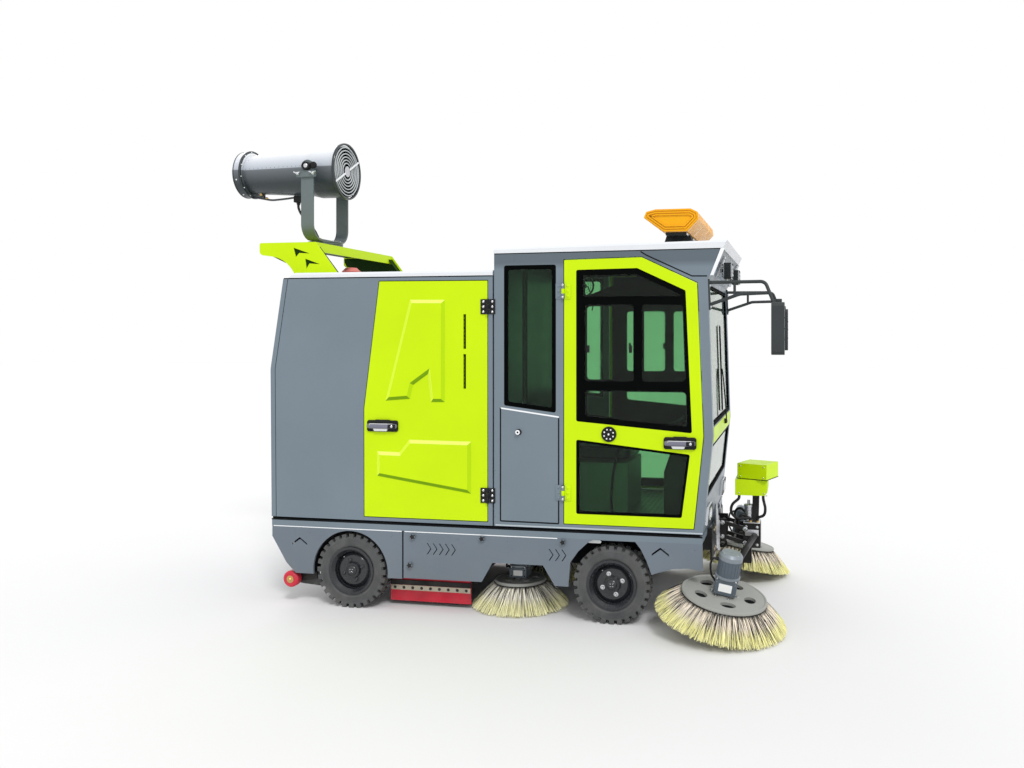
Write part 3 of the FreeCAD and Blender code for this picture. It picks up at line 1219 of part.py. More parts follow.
def front_covers():
    """The two folded covers at the top of the front lift mast."""
    lower = box(ax(692), ax(898), -100, 100, COVER_LOW, COVER_LOW + COVER_H)
    bottom = [edge for edge in lower.Edges if abs(edge.CenterOfMass.z - COVER_LOW) < 1e-6 and edge.CenterOfMass.x > ax(890)]
    lower = lower.makeFillet(34, bottom)
    upper = box(-100, 100, -100, 100, 0, COVER_H)
    upper.rotate(V(0, 0, 0), AXIS_Z, COVER_TURN_DEG)
    return fuse([lower, upper.translated(V(ax(832), 0, COVER_LOW + COVER_H))])


def front_hoses():
    """The three hoses between the covers and the valve block."""
    low, high = link_end(-LINK_SPACING / 2), link_end(LINK_SPACING / 2)
    top = high.z + 34 + FIT
    block_face = low.x - ax(0) - 14 - FIT
    routes = (
        [(775, -30, top), (775, -30, top + 30), (736, -42, top + 58), (710, -42, top + 26), (709, -40, top - 20),
         (712, -38, top - 50), (block_face, -38, top - 50)],
        [(716, -60, COVER_LOW - FIT), (716, -60, COVER_LOW - 28), (668, -74, COVER_LOW - 66), (662, -70, COVER_LOW - 120),
         (700, -58, COVER_LOW - 160), (786, -40, top + 34), (786, -40, top)],
        [(868, -40, COVER_LOW - FIT), (868, -40, COVER_LOW - 30), (884, -52, COVER_LOW - 90), (876, -46, top + 50),
         (832, -40, top + 36), (832, -40, top)],
    )
    tubes = [hose([V(ax(x), y, z) for x, y, z in route], HOSE_R) for route in routes]
    return Part.makeCompound(tubes)


def dashboard():
    """The console under the windscreen with the steering column."""
    console = prism_xz([(300, FLOOR_Z + 20), (300, 900), (360, 1080), (540, 1100), (540, 960), (470, FLOOR_Z + 20)], -560, 560)
    column = rod(V(ax(420), STEER_Y, 1000), V(ax(420), STEER_Y, 1000) + steer_axis() * 150, 28)
    shaft = rod(V(ax(420), STEER_Y, 1000), steer_centre() + steer_axis() * 12, 12)
    return fuse([console, column, shaft])


def steer_axis():
    angle = math.radians(STEER_RAKE_DEG)
    return V(-math.sin(angle), 0, math.cos(angle))


def steer_centre():
    return V(ax(420), STEER_Y, 1000) + steer_axis() * 190


def steering_wheel():
    """A three-spoke wheel, bored for its shaft."""
    ring = Part.makeTorus(STEER_WHEEL_R, 14)
    hub = Part.makeCylinder(36, 34, V(0, 0, -24))
    spokes = []
    for turn in range(3):
        spoke = box(30, STEER_WHEEL_R - 4, -13, 13, -6, 4)
        spoke.rotate(V(0, 0, 0), AXIS_Z, 90 + 120 * turn)
        spokes.append(spoke)
    whole = fuse([ring, hub] + spokes).cut(Part.makeCylinder(12 + FIT, 38, V(0, 0, -25)))
    whole.Placement = FreeCAD.Placement(steer_centre(), FreeCAD.Rotation(AXIS_Z, steer_axis()))
    return whole


def seat_base():
    return box(ax(-420), ax(20), -250, 250, FLOOR_Z + 20, 900)


def seat_cushions():
    """The driver's seat pad and its leaning back."""
    pad = round_edges(box(ax(-430), ax(40), -240, 240, 900 + FIT, 1020), AXIS_Y, 30)
    back = prism_xz([(-430, 1020 + FIT), (-520, 1560), (-420, 1570), (-330, 1020 + FIT)], -235, 235, 30)
    return Part.makeCompound([pad, back])


def battery_block():
    """The traction battery, a plain block on the body floor."""
    return box(ax(-1500), ax(-900), -400, 400, FLOOR_Z + 20, FLOOR_Z + 320)


def wheel_nodes():
    nodes = {}
    for name, x, side in (("front_right", ax(0), -1), ("front_left", ax(0), 1),
                          ("rear_right", ax(-WHEELBASE), -1), ("rear_left", ax(-WHEELBASE), 1)):
        nodes["tyre_" + name] = bead_trim(tyre(x, side), x, side)
        nodes["rim_" + name] = rim(x, side)
    return nodes


def side_nodes():
    nodes = {}
    for name, side in (("right", -1), ("left", 1)):
        nodes["knuckle_" + name] = knuckle(side)
        nodes["cab_door_" + name] = cab_door(side)
        nodes["cab_door_glass_" + name] = door_glass(side)
        nodes["side_door_" + name] = side_door(side)
        nodes["front_brush_" + name] = front_brush(side)
        nodes["mid_brush_" + name] = mid_brush(side)
        nodes["bumper_roller_" + name] = bumper_roller(side)
    return nodes


def single_nodes():
    return {
        "chassis_frame": chassis_frame(),
        "front_axle": front_axle(),
        "rear_axle": rear_axle(),
        "leaf_springs": leaf_springs(),
        "tie_rod": tie_rod(),
        "deck": deck(),
        "cab_shell": cab_shell(),
        "cab_glazing": cab_glazing(),
        "cab_roof": cab_roof(),
        "dashboard": dashboard(),
        "steering_wheel": steering_wheel(),
        "seat_base": seat_base(),
        "seat_cushions": seat_cushions(),
        "body_shell": body_shell(),
        "body_roof": body_roof(),
        "rear_door": rear_door(),
        "battery_block": battery_block(),
        "brush_chamber": Part.makeCompound([brush_chamber(), clamp_strips()]),
        "side_flaps": side_flaps(),
        "roller_brush": roller_brush(),
        "mid_brush_hangers": mid_hangers(),
        "lift_link_lower": lift_link(-LINK_SPACING / 2),
        "lift_link_upper": lift_link(LINK_SPACING / 2),
        "brush_carriage": carriage(),
        "front_covers": front_covers(),
        "front_brush_motors": both_sides(front_motor(-1)),
        "side_skirts": both_sides(skirt()),
        "cannon_bracket": cannon_bracket(),
        "cannon_yoke": cannon_yoke(),
        "cannon_barrel": cannon_barrel(),
        "cannon_fan": cannon_fan(),
        "cannon_grille": cannon_grille(),
        "light_bar": light_bar(),
        "mirrors": mirrors(),
        "front_lamps": front_lamps(),
        "roof_cap": roof_cap(),
        "front_hoses": front_hoses(),
        "tail_lamps": tail_lamps(),
    }


def main():
    os.makedirs("parts", exist_ok=True)
    nodes = single_nodes()
    nodes.update(side_nodes())
    nodes.update(wheel_nodes())
    for name in sorted(nodes):
        shape = nodes[name]
        if not shape.isValid():
            print("not valid:", name)
        shape.exportStep("parts/" + name + ".step")
    print(len(nodes), "nodes")


main()
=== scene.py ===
import json
import math
import random

import bmesh
import bpy
import numpy as np
from mathutils import Matrix, Vector


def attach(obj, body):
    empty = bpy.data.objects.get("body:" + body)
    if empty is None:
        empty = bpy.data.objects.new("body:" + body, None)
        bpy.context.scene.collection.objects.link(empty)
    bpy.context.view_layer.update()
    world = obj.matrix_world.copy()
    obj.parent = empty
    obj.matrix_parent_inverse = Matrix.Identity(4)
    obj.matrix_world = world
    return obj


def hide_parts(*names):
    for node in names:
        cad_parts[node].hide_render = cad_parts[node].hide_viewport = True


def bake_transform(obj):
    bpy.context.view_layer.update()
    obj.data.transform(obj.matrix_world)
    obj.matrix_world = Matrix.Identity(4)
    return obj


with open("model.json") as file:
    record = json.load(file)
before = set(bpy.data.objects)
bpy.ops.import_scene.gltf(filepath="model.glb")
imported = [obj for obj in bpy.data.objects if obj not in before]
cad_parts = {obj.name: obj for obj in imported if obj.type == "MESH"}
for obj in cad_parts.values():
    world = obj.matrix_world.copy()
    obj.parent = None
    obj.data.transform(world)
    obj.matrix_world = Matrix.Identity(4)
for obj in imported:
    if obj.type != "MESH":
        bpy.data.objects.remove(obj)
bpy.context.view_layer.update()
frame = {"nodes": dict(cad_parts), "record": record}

# Lengths are in millimetres; x is given from the front axle and y to the left.
AXLE_X = 908.0
HALF_W = 675.0
SIDES = (("right", -1), ("left", 1))
WAYS = (-1, 1)
AXIS_X, AXIS_Y, AXIS_Z = Vector((1, 0, 0)), Vector((0, 1, 0)), Vector((0, 0, 1))


def at(x, y, z):
    """A place in metres from millimetres given from the front axle."""
    return Vector((AXLE_X + x, y, z)) / 1000


def skin(side, *reaches):
    """The y of faces that lie at given reaches outside a side wall."""
    return [side * (HALF_W + reach) for reach in reaches]


def turns(count, start=0.0):
    """Angles spread evenly round a circle."""
    return [2 * math.pi * i / count + start for i in range(count)]


def heading(u, v, a):
    """The direction at an angle between two square directions."""
    return u * math.cos(a) + v * math.sin(a)


def upright(a, reach):
    """A step in the upright plane along the truck."""
    return Vector((math.cos(a), 0, math.sin(a))) * (reach / 1000)


# Shapes: each call adds to the mesh in hand, and piece() names that mesh and starts the next

class Hand:
    """Holds the mesh in hand."""
    bm = bmesh.new()


def link_rings(rings, cyclic=False):
    """Joins rings of places with quads and closes the ends."""
    bm = Hand.bm
    made = [[bm.verts.new(p) for p in ring] for ring in rings]
    count = len(made[0])
    pairs = list(zip(made, made[1:]))
    if cyclic:
        pairs.append((made[-1], made[0]))
    for low, high in pairs:
        for i in range(count):
            j = (i + 1) % count
            bm.faces.new((low[i], low[j], high[j], high[i]))
    if not cyclic:
        bm.faces.new(list(reversed(made[0])))
        bm.faces.new(made[-1])
    return [v for ring in made for v in ring]


def side_frame(direction):
    """Two directions square to the given one and to each other."""
    direction = direction.normalized()
    helper = AXIS_Z if abs(direction.z) < 0.9 else AXIS_X
    first = direction.cross(helper).normalized()
    return first, direction.cross(first).normalized()


def lathe(profile, start, direction, segments=32, turn=0.0):
    """Turns a profile of (radius, height) about an axis through a place."""
    u, v = side_frame(direction)
    w = direction.normalized()
    around = [heading(u, v, a) for a in turns(segments, turn)]
    return link_rings([[start + out * (max(radius, 0.01) / 1000) + w * (height / 1000) for out in around]
                       for radius, height in profile])


def wheel_ring(profile, centre, direction, segments=48):
    """Turns a closed profile of (radius, height) into a ring."""
    u, v = side_frame(direction)
    w = direction.normalized()
    return link_rings([[centre + heading(u, v, a) * (r / 1000) + w * (h / 1000) for r, h in profile]
                       for a in turns(segments)], cyclic=True)


def tube(points, radius, sides=10):
    """A round tube along places, with one radius or one for each place."""
    count = len(points)
    radii = radius if isinstance(radius, list) else [radius] * count
    tangents = [(points[min(i + 1, count - 1)] - points[max(i - 1, 0)]).normalized() for i in range(count)]
    u, v = side_frame(tangents[0])
    rings = []
    for i, place in enumerate(points):
        if i:
            turn = tangents[i - 1].rotation_difference(tangents[i])
            u = turn @ u
            v = turn @ v
        rings.append([place + heading(u, v, a) * (radii[i] / 1000) for a in turns(sides)])
    return link_rings(rings)


def curve_through(points, steps=8):
    """Places on a smooth line through the given ones."""
    padded = [points[0] * 2 - points[1]] + list(points) + [points[-1] * 2 - points[-2]]
    line = []
    for a, b, c, d in zip(padded, padded[1:], padded[2:], padded[3:]):
        for step in range(steps):
            t = step / steps
            line.append(0.5 * ((2 * b) + (c - a) * t + (2 * a - 5 * b + 4 * c - d) * t * t
                               + (3 * b - a - 3 * c + d) * t * t * t))
    line.append(points[-1].copy())
    return line


def hose(places, radius, steps, sides):
    """A tube on a smooth line through places given in millimetres."""
    return tube(curve_through([at(*p) for p in places], steps), radius, sides)


def bevel(verts, width, segments=2):
    """Rounds the sharp edges among some new points."""
    Hand.bm.normal_update()
    chosen = set(verts)
    sharp = math.radians(25.0)
    edges = [edge for edge in {e for v in verts for e in v.link_edges}
             if edge.verts[0] in chosen and edge.verts[1] in chosen and len(edge.link_faces) == 2
             and edge.calc_face_angle(0.0) > sharp]
    bmesh.ops.bevel(Hand.bm, geom=edges, offset=width / 1000, segments=segments, profile=0.6,
                    affect="EDGES", clamp_overlap=True)


def block(corner, opposite, width=0.0, segments=2, spin=None):
    """A box between two corners, with rounded edges."""
    (x0, x1), (y0, y1), (z0, z1) = [sorted(pair) for pair in zip(corner, opposite)]
    verts = link_rings([[at(x, y, z) for x, y in rectangle(x0, y0, x1, y1)] for z in (z0, z1)])
    if spin:
        centre, axis, degrees = spin
        move = Matrix.Translation(centre)
        turn = move @ Matrix.Rotation(math.radians(degrees), 4, axis) @ move.inverted()
        for v in verts:
            v.co = turn @ v.co
    if width:
        bevel(verts, width, segments)


def to_place(plane, a, b, c):
    """A place from two coordinates in a plane and one square to it."""
    return at(a, c, b) if plane == "xz" else at(c, a, b)


def prism(outline, plane, low, high, width=0.0, segments=2):
    """An outline pushed from one level to another along the third axis."""
    verts = link_rings([[to_place(plane, a, b, c) for a, b in outline] for c in sorted((low, high))])
    if width:
        bevel(verts, width, segments)


def frame_strip(outer, inner, plane, low, high):
    """A flat frame between two outlines that have the same number of corners."""
    link_rings([[to_place(plane, *p, level) for p, level in ((a, low), (a, high), (b, high), (b, low))]
                for a, b in zip(outer, inner)], cyclic=True)


def pierced(outline, holes, plane, low, high):
    """A flat sheet between two levels, with holes through it."""
    bm = Hand.bm
    levels = []
    for level in (low, high):
        edges, rings = [], []
        for loop in [outline] + holes:
            ring = [bm.verts.new(to_place(plane, a, b, level)) for a, b in loop]
            edges += [bm.edges.new((ring[i - 1], ring[i])) for i in range(len(ring))]
            rings.append(ring)
        bmesh.ops.triangle_fill(bm, use_beauty=True, use_dissolve=False, edges=edges)
        levels.append(rings)
    for bottom, top in zip(*levels):
        for i in range(len(bottom)):
            bm.faces.new((bottom[i - 1], bottom[i], top[i], top[i - 1]))


def flat_line(points, width, low, high):
    """A thin raised line along a path on a side wall."""
    for (a0, b0), (a1, b1) in zip(points, points[1:]):
        length = math.hypot(a1 - a0, b1 - b0)
        na, nb = -(b1 - b0) / length * width / 2, (a1 - a0) / length * width / 2
        prism([(a0 + na, b0 + nb), (a1 + na, b1 + nb), (a1 - na, b1 - nb), (a0 - na, b0 - nb)], "xz", low,
              high)


def rectangle(a0, b0, a1, b1):
    return [(a0, b0), (a1, b0), (a1, b1), (a0, b1)]


def winding(points):
    """One for an outline that runs anticlockwise, and minus one otherwise."""
    area = sum(a[0] * b[1] - b[0] * a[1] for a, b in zip(points, points[1:] + points[:1]))
    return 1.0 if area > 0 else -1.0


def inset(points, distance):
    """An outline moved inwards by a distance on every side."""
    turn = winding(points)
    lines = []
    for (x0, z0), (x1, z1) in zip(points, points[1:] + points[:1]):
        length = math.hypot(x1 - x0, z1 - z0)
        nx, nz = -(z1 - z0) / length * turn, (x1 - x0) / length * turn
        lines.append((x0 + nx * distance, z0 + nz * distance, x1 - x0, z1 - z0))
    moved = []
    for first, second in zip(lines[-1:] + lines[:-1], lines):
        cross = first[2] * second[3] - first[3] * second[2]
        t = ((second[0] - first[0]) * second[3] - (second[1] - first[1]) * second[2]) / cross
        moved.append((first[0] + first[2] * t, first[1] + first[3] * t))
    return moved


def rounded(points, radius, steps=5):
    """An outline with its corners rounded."""
    out = []
    count = len(points)
    for i in range(count):
        before, corner, after = Vector(points[i - 1]), Vector(points[i]), Vector(points[(i + 1) % count])
        back, ahead = before - corner, after - corner
        half = back.angle(ahead) / 2
        reach = min(radius / math.tan(half), 0.48 * back.length, 0.48 * ahead.length)
        start, end = corner + back.normalized() * reach, corner + ahead.normalized() * reach
        for step in range(steps + 1):
            t = step / steps
            mid = start * (1 - t) ** 2 + corner * 2 * t * (1 - t) + end * t * t
            out.append((mid.x, mid.y))
    return out


def round_box(a0, b0, a1, b1, radius, steps=5):
    return rounded(rectangle(a0, b0, a1, b1), radius, steps)


def border(outline, outer, inner, plane, low, high, steps=5):
    """A flat frame along an outline; outer and inner give a distance inwards and a corner radius."""
    frame_strip(rounded(inset(outline, outer[0]), outer[1], steps),
                rounded(inset(outline, inner[0]), inner[1], steps), plane, low, high)


def bolt(place, direction, radius=7.0, height=5.0, washer=True):
    """A bolt head on its washer."""
    start = 0.0
    if washer:
        lathe([(radius * 1.5, 0), (radius * 1.5, 1.2), (radius * 1.35, 1.6)], place, direction, 16)
        start = 1.6
    lathe([(radius, start), (radius, start + height * 0.8), (radius * 0.82, start + height)], place,
          direction, 6, 0.3)


def dome(place, direction, radius=6.0, height=4.0, segments=12):
    profile = [(radius, 0), (radius * 0.96, height * 0.35), (radius * 0.72, height * 0.78),
               (radius * 0.3, height)]
    lathe(profile, place, direction, segments)


def place_object(name, mesh, material, body, replaces=()):
    """Puts a finished mesh in the scene, riding on its body."""
    mesh.materials.append(material)
    obj = bpy.data.objects.new(name, mesh)
    bpy.context.scene.collection.objects.link(obj)
    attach(obj, body)
    if replaces:
        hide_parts(*replaces)
    return obj


def piece(name, material, body="chassis", replaces=(), crease=32.0):
    """Turns the mesh in hand into a named object with the given material."""
    bm = Hand.bm
    bmesh.ops.recalc_face_normals(bm, faces=bm.faces[:])
    for face in bm.faces:
        face.smooth = True
    for edge in bm.edges:
        if len(edge.link_faces) != 2 or edge.calc_face_angle(0.0) > math.radians(crease):
            edge.smooth = False
    mesh = bpy.data.meshes.new(name)
    bm.to_mesh(mesh)
    bm.free()
    Hand.bm = bmesh.new()
    return place_object(name, mesh, material, body, replaces)


# Materials

DUST = (0.17, 0.16, 0.145, 1.0)


class Net:
    """A material's node tree, with short ways to add the nodes used here."""

    def __init__(self, name, slot):
        self.mat = bpy.data.materials.new(name)
        self.mat.use_nodes = True
        self.nodes, self.links = self.mat.node_tree.nodes, self.mat.node_tree.links
        self.shader = self.nodes["Principled BSDF"].inputs

    def add(self, kind, values=(), **settings):
        """A node with its settings, and with a link or a number on each named or numbered input."""
        node = self.nodes.new("ShaderNode" + kind)
        for key, value in settings.items():
            setattr(node, key, value)
        for key, value in values:
            if isinstance(value, bpy.types.NodeSocket):
                self.links.new(value, node.inputs[key])
            else:
                node.inputs[key].default_value = value
        return node

    def noise(self, vector, scale, detail):
        return self.add("TexNoise", (("Vector", vector), ("Scale", scale), ("Detail", detail))).outputs["Fac"]

    def remap(self, value, low, high, to_low=0.0, to_high=1.0):
        return self.add("MapRange", (("Value", value), ("From Min", low), ("From Max", high),
                                     ("To Min", to_low), ("To Max", to_high))).outputs["Result"]

    def mix(self, factor, first, second, blend="MIX"):
        return self.add("Mix", (("Factor", factor), (6, first), (7, second)), data_type="RGBA",
                        blend_type=blend).outputs[2]

    def ramp(self, value, stops):
        """A colour ramp with (position, colour) stops."""
        node = self.add("ValToRGB", (("Fac", value),))
        elements = node.color_ramp.elements
        while len(elements) < len(stops):
            elements.new(0.5)
        for element, (position, colour) in zip(elements, stops):
            element.position, element.color = position, colour
        return node.outputs["Color"]


def finish(slot, name, colour, rough=0.5, metal=0.0, tone=0.07, patch=2.5, grain=300.0, bump=0.03, dust=0.0,
           dust_top=0.75, coat=0.0, stretch=(1, 1, 1), dark_above=None, gloss=0.3, painted_light_bands=None, **sockets):
    """A painted, moulded or cast surface with its colour drift, fine grain and road dust, and, where asked,
    painted shade above a height and painted light and shade in bands by height.
    """
    net = Net(name, slot)
    coords = net.add("TexCoord").outputs["Object"]
    scaled = net.add("Mapping", (("Vector", coords), ("Scale", stretch))).outputs["Vector"]
    height = net.add("SeparateXYZ", (("Vector", coords),)).outputs["Z"]

    def shade(factor):
        return tuple(min(1.0, c * factor) for c in colour) + (1.0,)

    base = net.mix(net.remap(net.noise(scaled, patch, 4.0), 0.3, 0.7), shade(1 - tone), shade(1 + tone))
    # Painted shade: the colour is darkened above a given height.
    if dark_above:
        low, high, factor = dark_above
        base = net.mix(net.remap(height, low, high), base, shade(factor))
    # Painted light and shade: the colour is multiplied by a ramp of tints by height.
    if painted_light_bands:
        low, high = painted_light_bands[0][0], painted_light_bands[-1][0]
        stops = [((level - low) / (high - low), tint + (1.0,)) for level, tint in painted_light_bands]
        base = net.mix(1.0, base, net.ramp(net.remap(height, low, high), stops), "MULTIPLY")
    if dust:
        fade = net.remap(height, 0.1, dust_top, dust, 0.0)
        cover = net.remap(net.noise(scaled, 9.0, 6.0), 0.35, 0.7)
        base = net.mix(net.add("Math", ((0, fade), (1, cover)), operation="MULTIPLY").outputs[0], base, DUST)
    net.links.new(base, net.shader["Base Color"])
    wear = net.remap(net.noise(scaled, patch * 6, 5.0), 0.3, 0.7, max(0.02, rough - 0.06),
                     min(1.0, rough + 0.08))
    net.links.new(wear, net.shader["Roughness"])
    if bump:
        grains = net.add("Bump", (("Strength", bump), ("Distance", 0.002),
                                  ("Height", net.noise(scaled, grain, 3.0))))
        net.links.new(grains.outputs["Normal"], net.shader["Normal"])
    for key, value in (("Metallic", metal), ("Coat Weight", coat), ("Coat Roughness", 0.08),
                       ("Specular IOR Level", 0.5 if metal else gloss)):
        net.shader[key].default_value = value
    for key, value in sockets.items():
        net.shader[key.replace("_", " ")].default_value = value
    return net.mat


def strand_finish(name, dark, light, tip, root_share, stops=(0.38, 0.46), thinning=0.0, dimmed=0.8):
    """Bristles: each strand has its own tone, darker at its root; fewer stay dark towards the tips."""
    net = Net(name, "brush_mix")
    net.shader["Roughness"].default_value = 0.55
    strand = net.add("Attribute", attribute_name="strand").outputs["Color"]
    parts = net.add("SeparateColor", (("Color", strand),)).outputs
    along = parts["Green"]
    lifted = net.add("Math", ((0, along), (1, thinning), (2, parts["Red"])),
                     operation="MULTIPLY_ADD").outputs[0]
    share = net.ramp(lifted, ((stops[0], (0, 0, 0, 1)), (stops[1], (1, 1, 1, 1)),
                              (0.8, (dimmed, dimmed, dimmed, 1))))
    dark, light, tip = dark + (1.0,), light + (1.0,), tip + (1.0,)
    tone = net.mix(share, dark, net.mix(net.remap(along, 0.42, 0.72), light, tip))
    rooted = net.mix(net.remap(along, root_share * 0.35, root_share), dark, tone)
    net.links.new(rooted, net.shader["Base Color"])
    return net.mat


def slot_finish(slot, *values, **settings):
    """A finish under its slot's name, as a pair for the table below."""
    return slot, finish(slot, *values, **settings)


M = dict((
    # The grey is darkened above 2.12 m as painted shade below the roof.
    slot_finish("panel_grey", "paint_grey", (0.150, 0.190, 0.225), 0.34, tone=0.04, coat=0.1, bump=0.02,
                dust=0.2, dust_top=0.6, dark_above=(2.12, 2.16, 0.62)),
    slot_finish("panel_green", "paint_green", (0.51, 0.72, 0.002), 0.34, tone=0.03, bump=0.015, dust=0.08,
                dust_top=0.7, gloss=0.14),
    slot_finish("roof_white", "paint_white", (0.66, 0.68, 0.71), 0.35, tone=0.03, coat=0.1, bump=0.02),
    slot_finish("frame_black", "paint_black", (0.010, 0.010, 0.011), 0.42, tone=0.2, bump=0.05, dust=0.2,
                gloss=0.2),
    slot_finish("axle_steel", "cast_steel", (0.045, 0.045, 0.05), 0.55, metal=0.4, tone=0.25, bump=0.3,
                grain=120, dust=0.3),
    slot_finish("rim_black", "rim_paint", (0.014, 0.016, 0.020), 0.26, tone=0.15, coat=0.35, bump=0.03,
                dust=0.05, gloss=0.4),
    slot_finish("tyre", "tyre_rubber", (0.078, 0.081, 0.083), 0.75, tone=0.2, patch=14, bump=0.25, grain=420,
                dust=0.3, dust_top=0.9, gloss=0.2),
    slot_finish("glass_tint", "tinted_glass", (0.34, 0.60, 0.38), 0.02, tone=0.06, patch=1.2, bump=0.0,
                Transmission_Weight=1.0, IOR=1.25),
    slot_finish("cabin_plastic", "grained_plastic", (0.016, 0.020, 0.020), 0.58, tone=0.12, bump=0.35,
                grain=650, gloss=0.2),
    slot_finish("seat_cover", "seat_leather", (0.020, 0.030, 0.028), 0.45, tone=0.15, bump=0.3, grain=260,
                gloss=0.25),
    slot_finish("flap_red", "red_rubber", (0.56, 0.022, 0.045), 0.5, tone=0.15, patch=8, bump=0.1, dust=0.2,
                dust_top=0.5, gloss=0.2),
    slot_finish("roller_red", "red_urethane", (0.62, 0.02, 0.05), 0.4, tone=0.1, bump=0.05, dust=0.15,
                dust_top=0.5, gloss=0.25),
    slot_finish("brush_mix", "brush_plate", (0.33, 0.34, 0.32), 0.5, tone=0.12, patch=9, bump=0.05, dust=0.45,
                dust_top=0.6, gloss=0.2),
    slot_finish("motor_grey", "motor_paint", (0.080, 0.105, 0.130), 0.45, metal=0.1, tone=0.12, bump=0.12,
                grain=160, dust=0.15),
    slot_finish("cannon_grey", "cannon_paint", (0.112, 0.138, 0.144), 0.35, tone=0.08, coat=0.1, bump=0.02),
    slot_finish("amber_lens", "amber_lens", (0.78, 0.37, 0.004), 0.2, tone=0.06, bump=0.0, gloss=0.2),
    slot_finish("lamp_clear", "lamp_lens", (0.55, 0.57, 0.60), 0.12, tone=0.1, coat=0.5, bump=0.0),
    slot_finish("cap_red", "red_cap", (0.72, 0.22, 0.19), 0.4, tone=0.1, bump=0.05),
    slot_finish("hose_black", "hose_rubber", (0.010, 0.010, 0.011), 0.5, tone=0.2, bump=0.15, grain=500),
    slot_finish("lamp_red", "red_lens", (0.45, 0.004, 0.008), 0.15, tone=0.1, coat=0.4, bump=0.0),
    slot_finish("mirror_shell", "mirror_plastic", (0.028, 0.034, 0.036), 0.5, tone=0.1, bump=0.25, grain=600),
))
BLACK, PLASTIC, RUBBER, MOTOR = M["frame_black"], M["cabin_plastic"], M["hose_black"], M["motor_grey"]
SKIRT_GREY = finish("panel_grey", "skirt_grey", (0.136, 0.165, 0.198), 0.4, tone=0.06, dust=0.35,
                    dust_top=0.5)
# Lit and shaded copies of the green paint: painted highlight and painted shade for the slopes of the doors'
# raised fields. The softer pair is for the slopes that face back and forward.
SLOPE_PAINTED_HIGHLIGHT = finish("panel_green", "green_slope_painted_highlight", (0.74, 0.90, 0.14), 0.3, tone=0.03, bump=0.0)
SLOPE_PAINTED_SHADE = finish("panel_green", "green_slope_painted_shade", (0.17, 0.33, 0.002), 0.4, tone=0.04, bump=0.0,
                     gloss=0.1)
SLOPE_PAINTED_SOFT_HIGHLIGHT = finish("panel_green", "green_slope_painted_soft_highlight", (0.62, 0.82, 0.035), 0.3, tone=0.03, bump=0.0,
                       gloss=0.2)
SLOPE_PAINTED_SOFT_SHADE = finish("panel_green", "green_slope_painted_soft_shade", (0.41, 0.63, 0.003), 0.4, tone=0.03, bump=0.0,
                        gloss=0.1)
# Pale grey for a painted highlight along the bent lower edge of the body's side.
SILL_PAINTED_HIGHLIGHT = finish("panel_grey", "grey_painted_highlight", (0.40, 0.45, 0.49), 0.4, tone=0.04, bump=0.0)
GRIP = finish("frame_black", "grip_plastic", (0.150, 0.150, 0.200), 0.35, tone=0.1, bump=0.1, grain=500,
              coat=0.2)
GRIP_LIP = finish("frame_black", "grip_lip", (0.62, 0.63, 0.64), 0.35, tone=0.05, bump=0.02)
CHROME = finish("axle_steel", "bright_steel", (0.62, 0.63, 0.65), 0.22, metal=1.0, tone=0.06, bump=0.04,
                grain=200)
ZINC = finish("axle_steel", "zinc_plate", (0.50, 0.44, 0.32), 0.38, metal=0.7, tone=0.12, patch=12, bump=0.05)
BRASS = finish("axle_steel", "brass", (0.62, 0.42, 0.16), 0.3, metal=1.0, tone=0.1, bump=0.04)
SEAL = finish("hose_black", "seal_rubber", (0.0015, 0.002, 0.002), 0.75, tone=0.15, bump=0.1, grain=500,
              gloss=0.03)
# Near black for seams, slots and dial faces, and also for painted shade and painted shadow in gaps and
# recesses.
DARK = finish("frame_black", "dark_gap_and_painted_shade", (0.006, 0.007, 0.008), 0.8, tone=0.2, bump=0.1, gloss=0.1)
# White for trim, and also for painted highlights along the skirts' top edges and the hatch's upper edge.
WHITE_TRIM_AND_HIGHLIGHT = finish("roof_white", "white_trim_and_painted_highlight", (0.76, 0.78, 0.80), 0.35, tone=0.03, bump=0.0)
MIRROR = finish("mirror_shell", "mirror_glass", (0.75, 0.78, 0.80), 0.03, metal=1.0, tone=0.02, bump=0.0)
SILVER = finish("axle_steel", "brushed_plate", (0.55, 0.56, 0.58), 0.3, metal=0.9, tone=0.05,
                stretch=(1, 14, 14), bump=0.05)
BLANK = finish("lamp_clear", "blank_plate", (0.80, 0.81, 0.80), 0.4, tone=0.03, bump=0.0)
# Dark green for painted shade on the upper cover's side face.
COVER_PAINTED_SHADE = finish("panel_green", "green_painted_shade", (0.045, 0.17, 0.006), 0.4, tone=0.08, bump=0.02, gloss=0.1)
# A deep green for painted shade on the cannon bracket's inner faces and front flanges.
BRACKET_PAINTED_SHADE = finish("panel_green", "deep_green_painted_shade", (0.010, 0.034, 0.004), 0.5, tone=0.1, bump=0.02, gloss=0.06)
CANNON_DARK = finish("cannon_grey", "cannon_dark_paint", (0.030, 0.038, 0.042), 0.3, tone=0.12, coat=0.2)
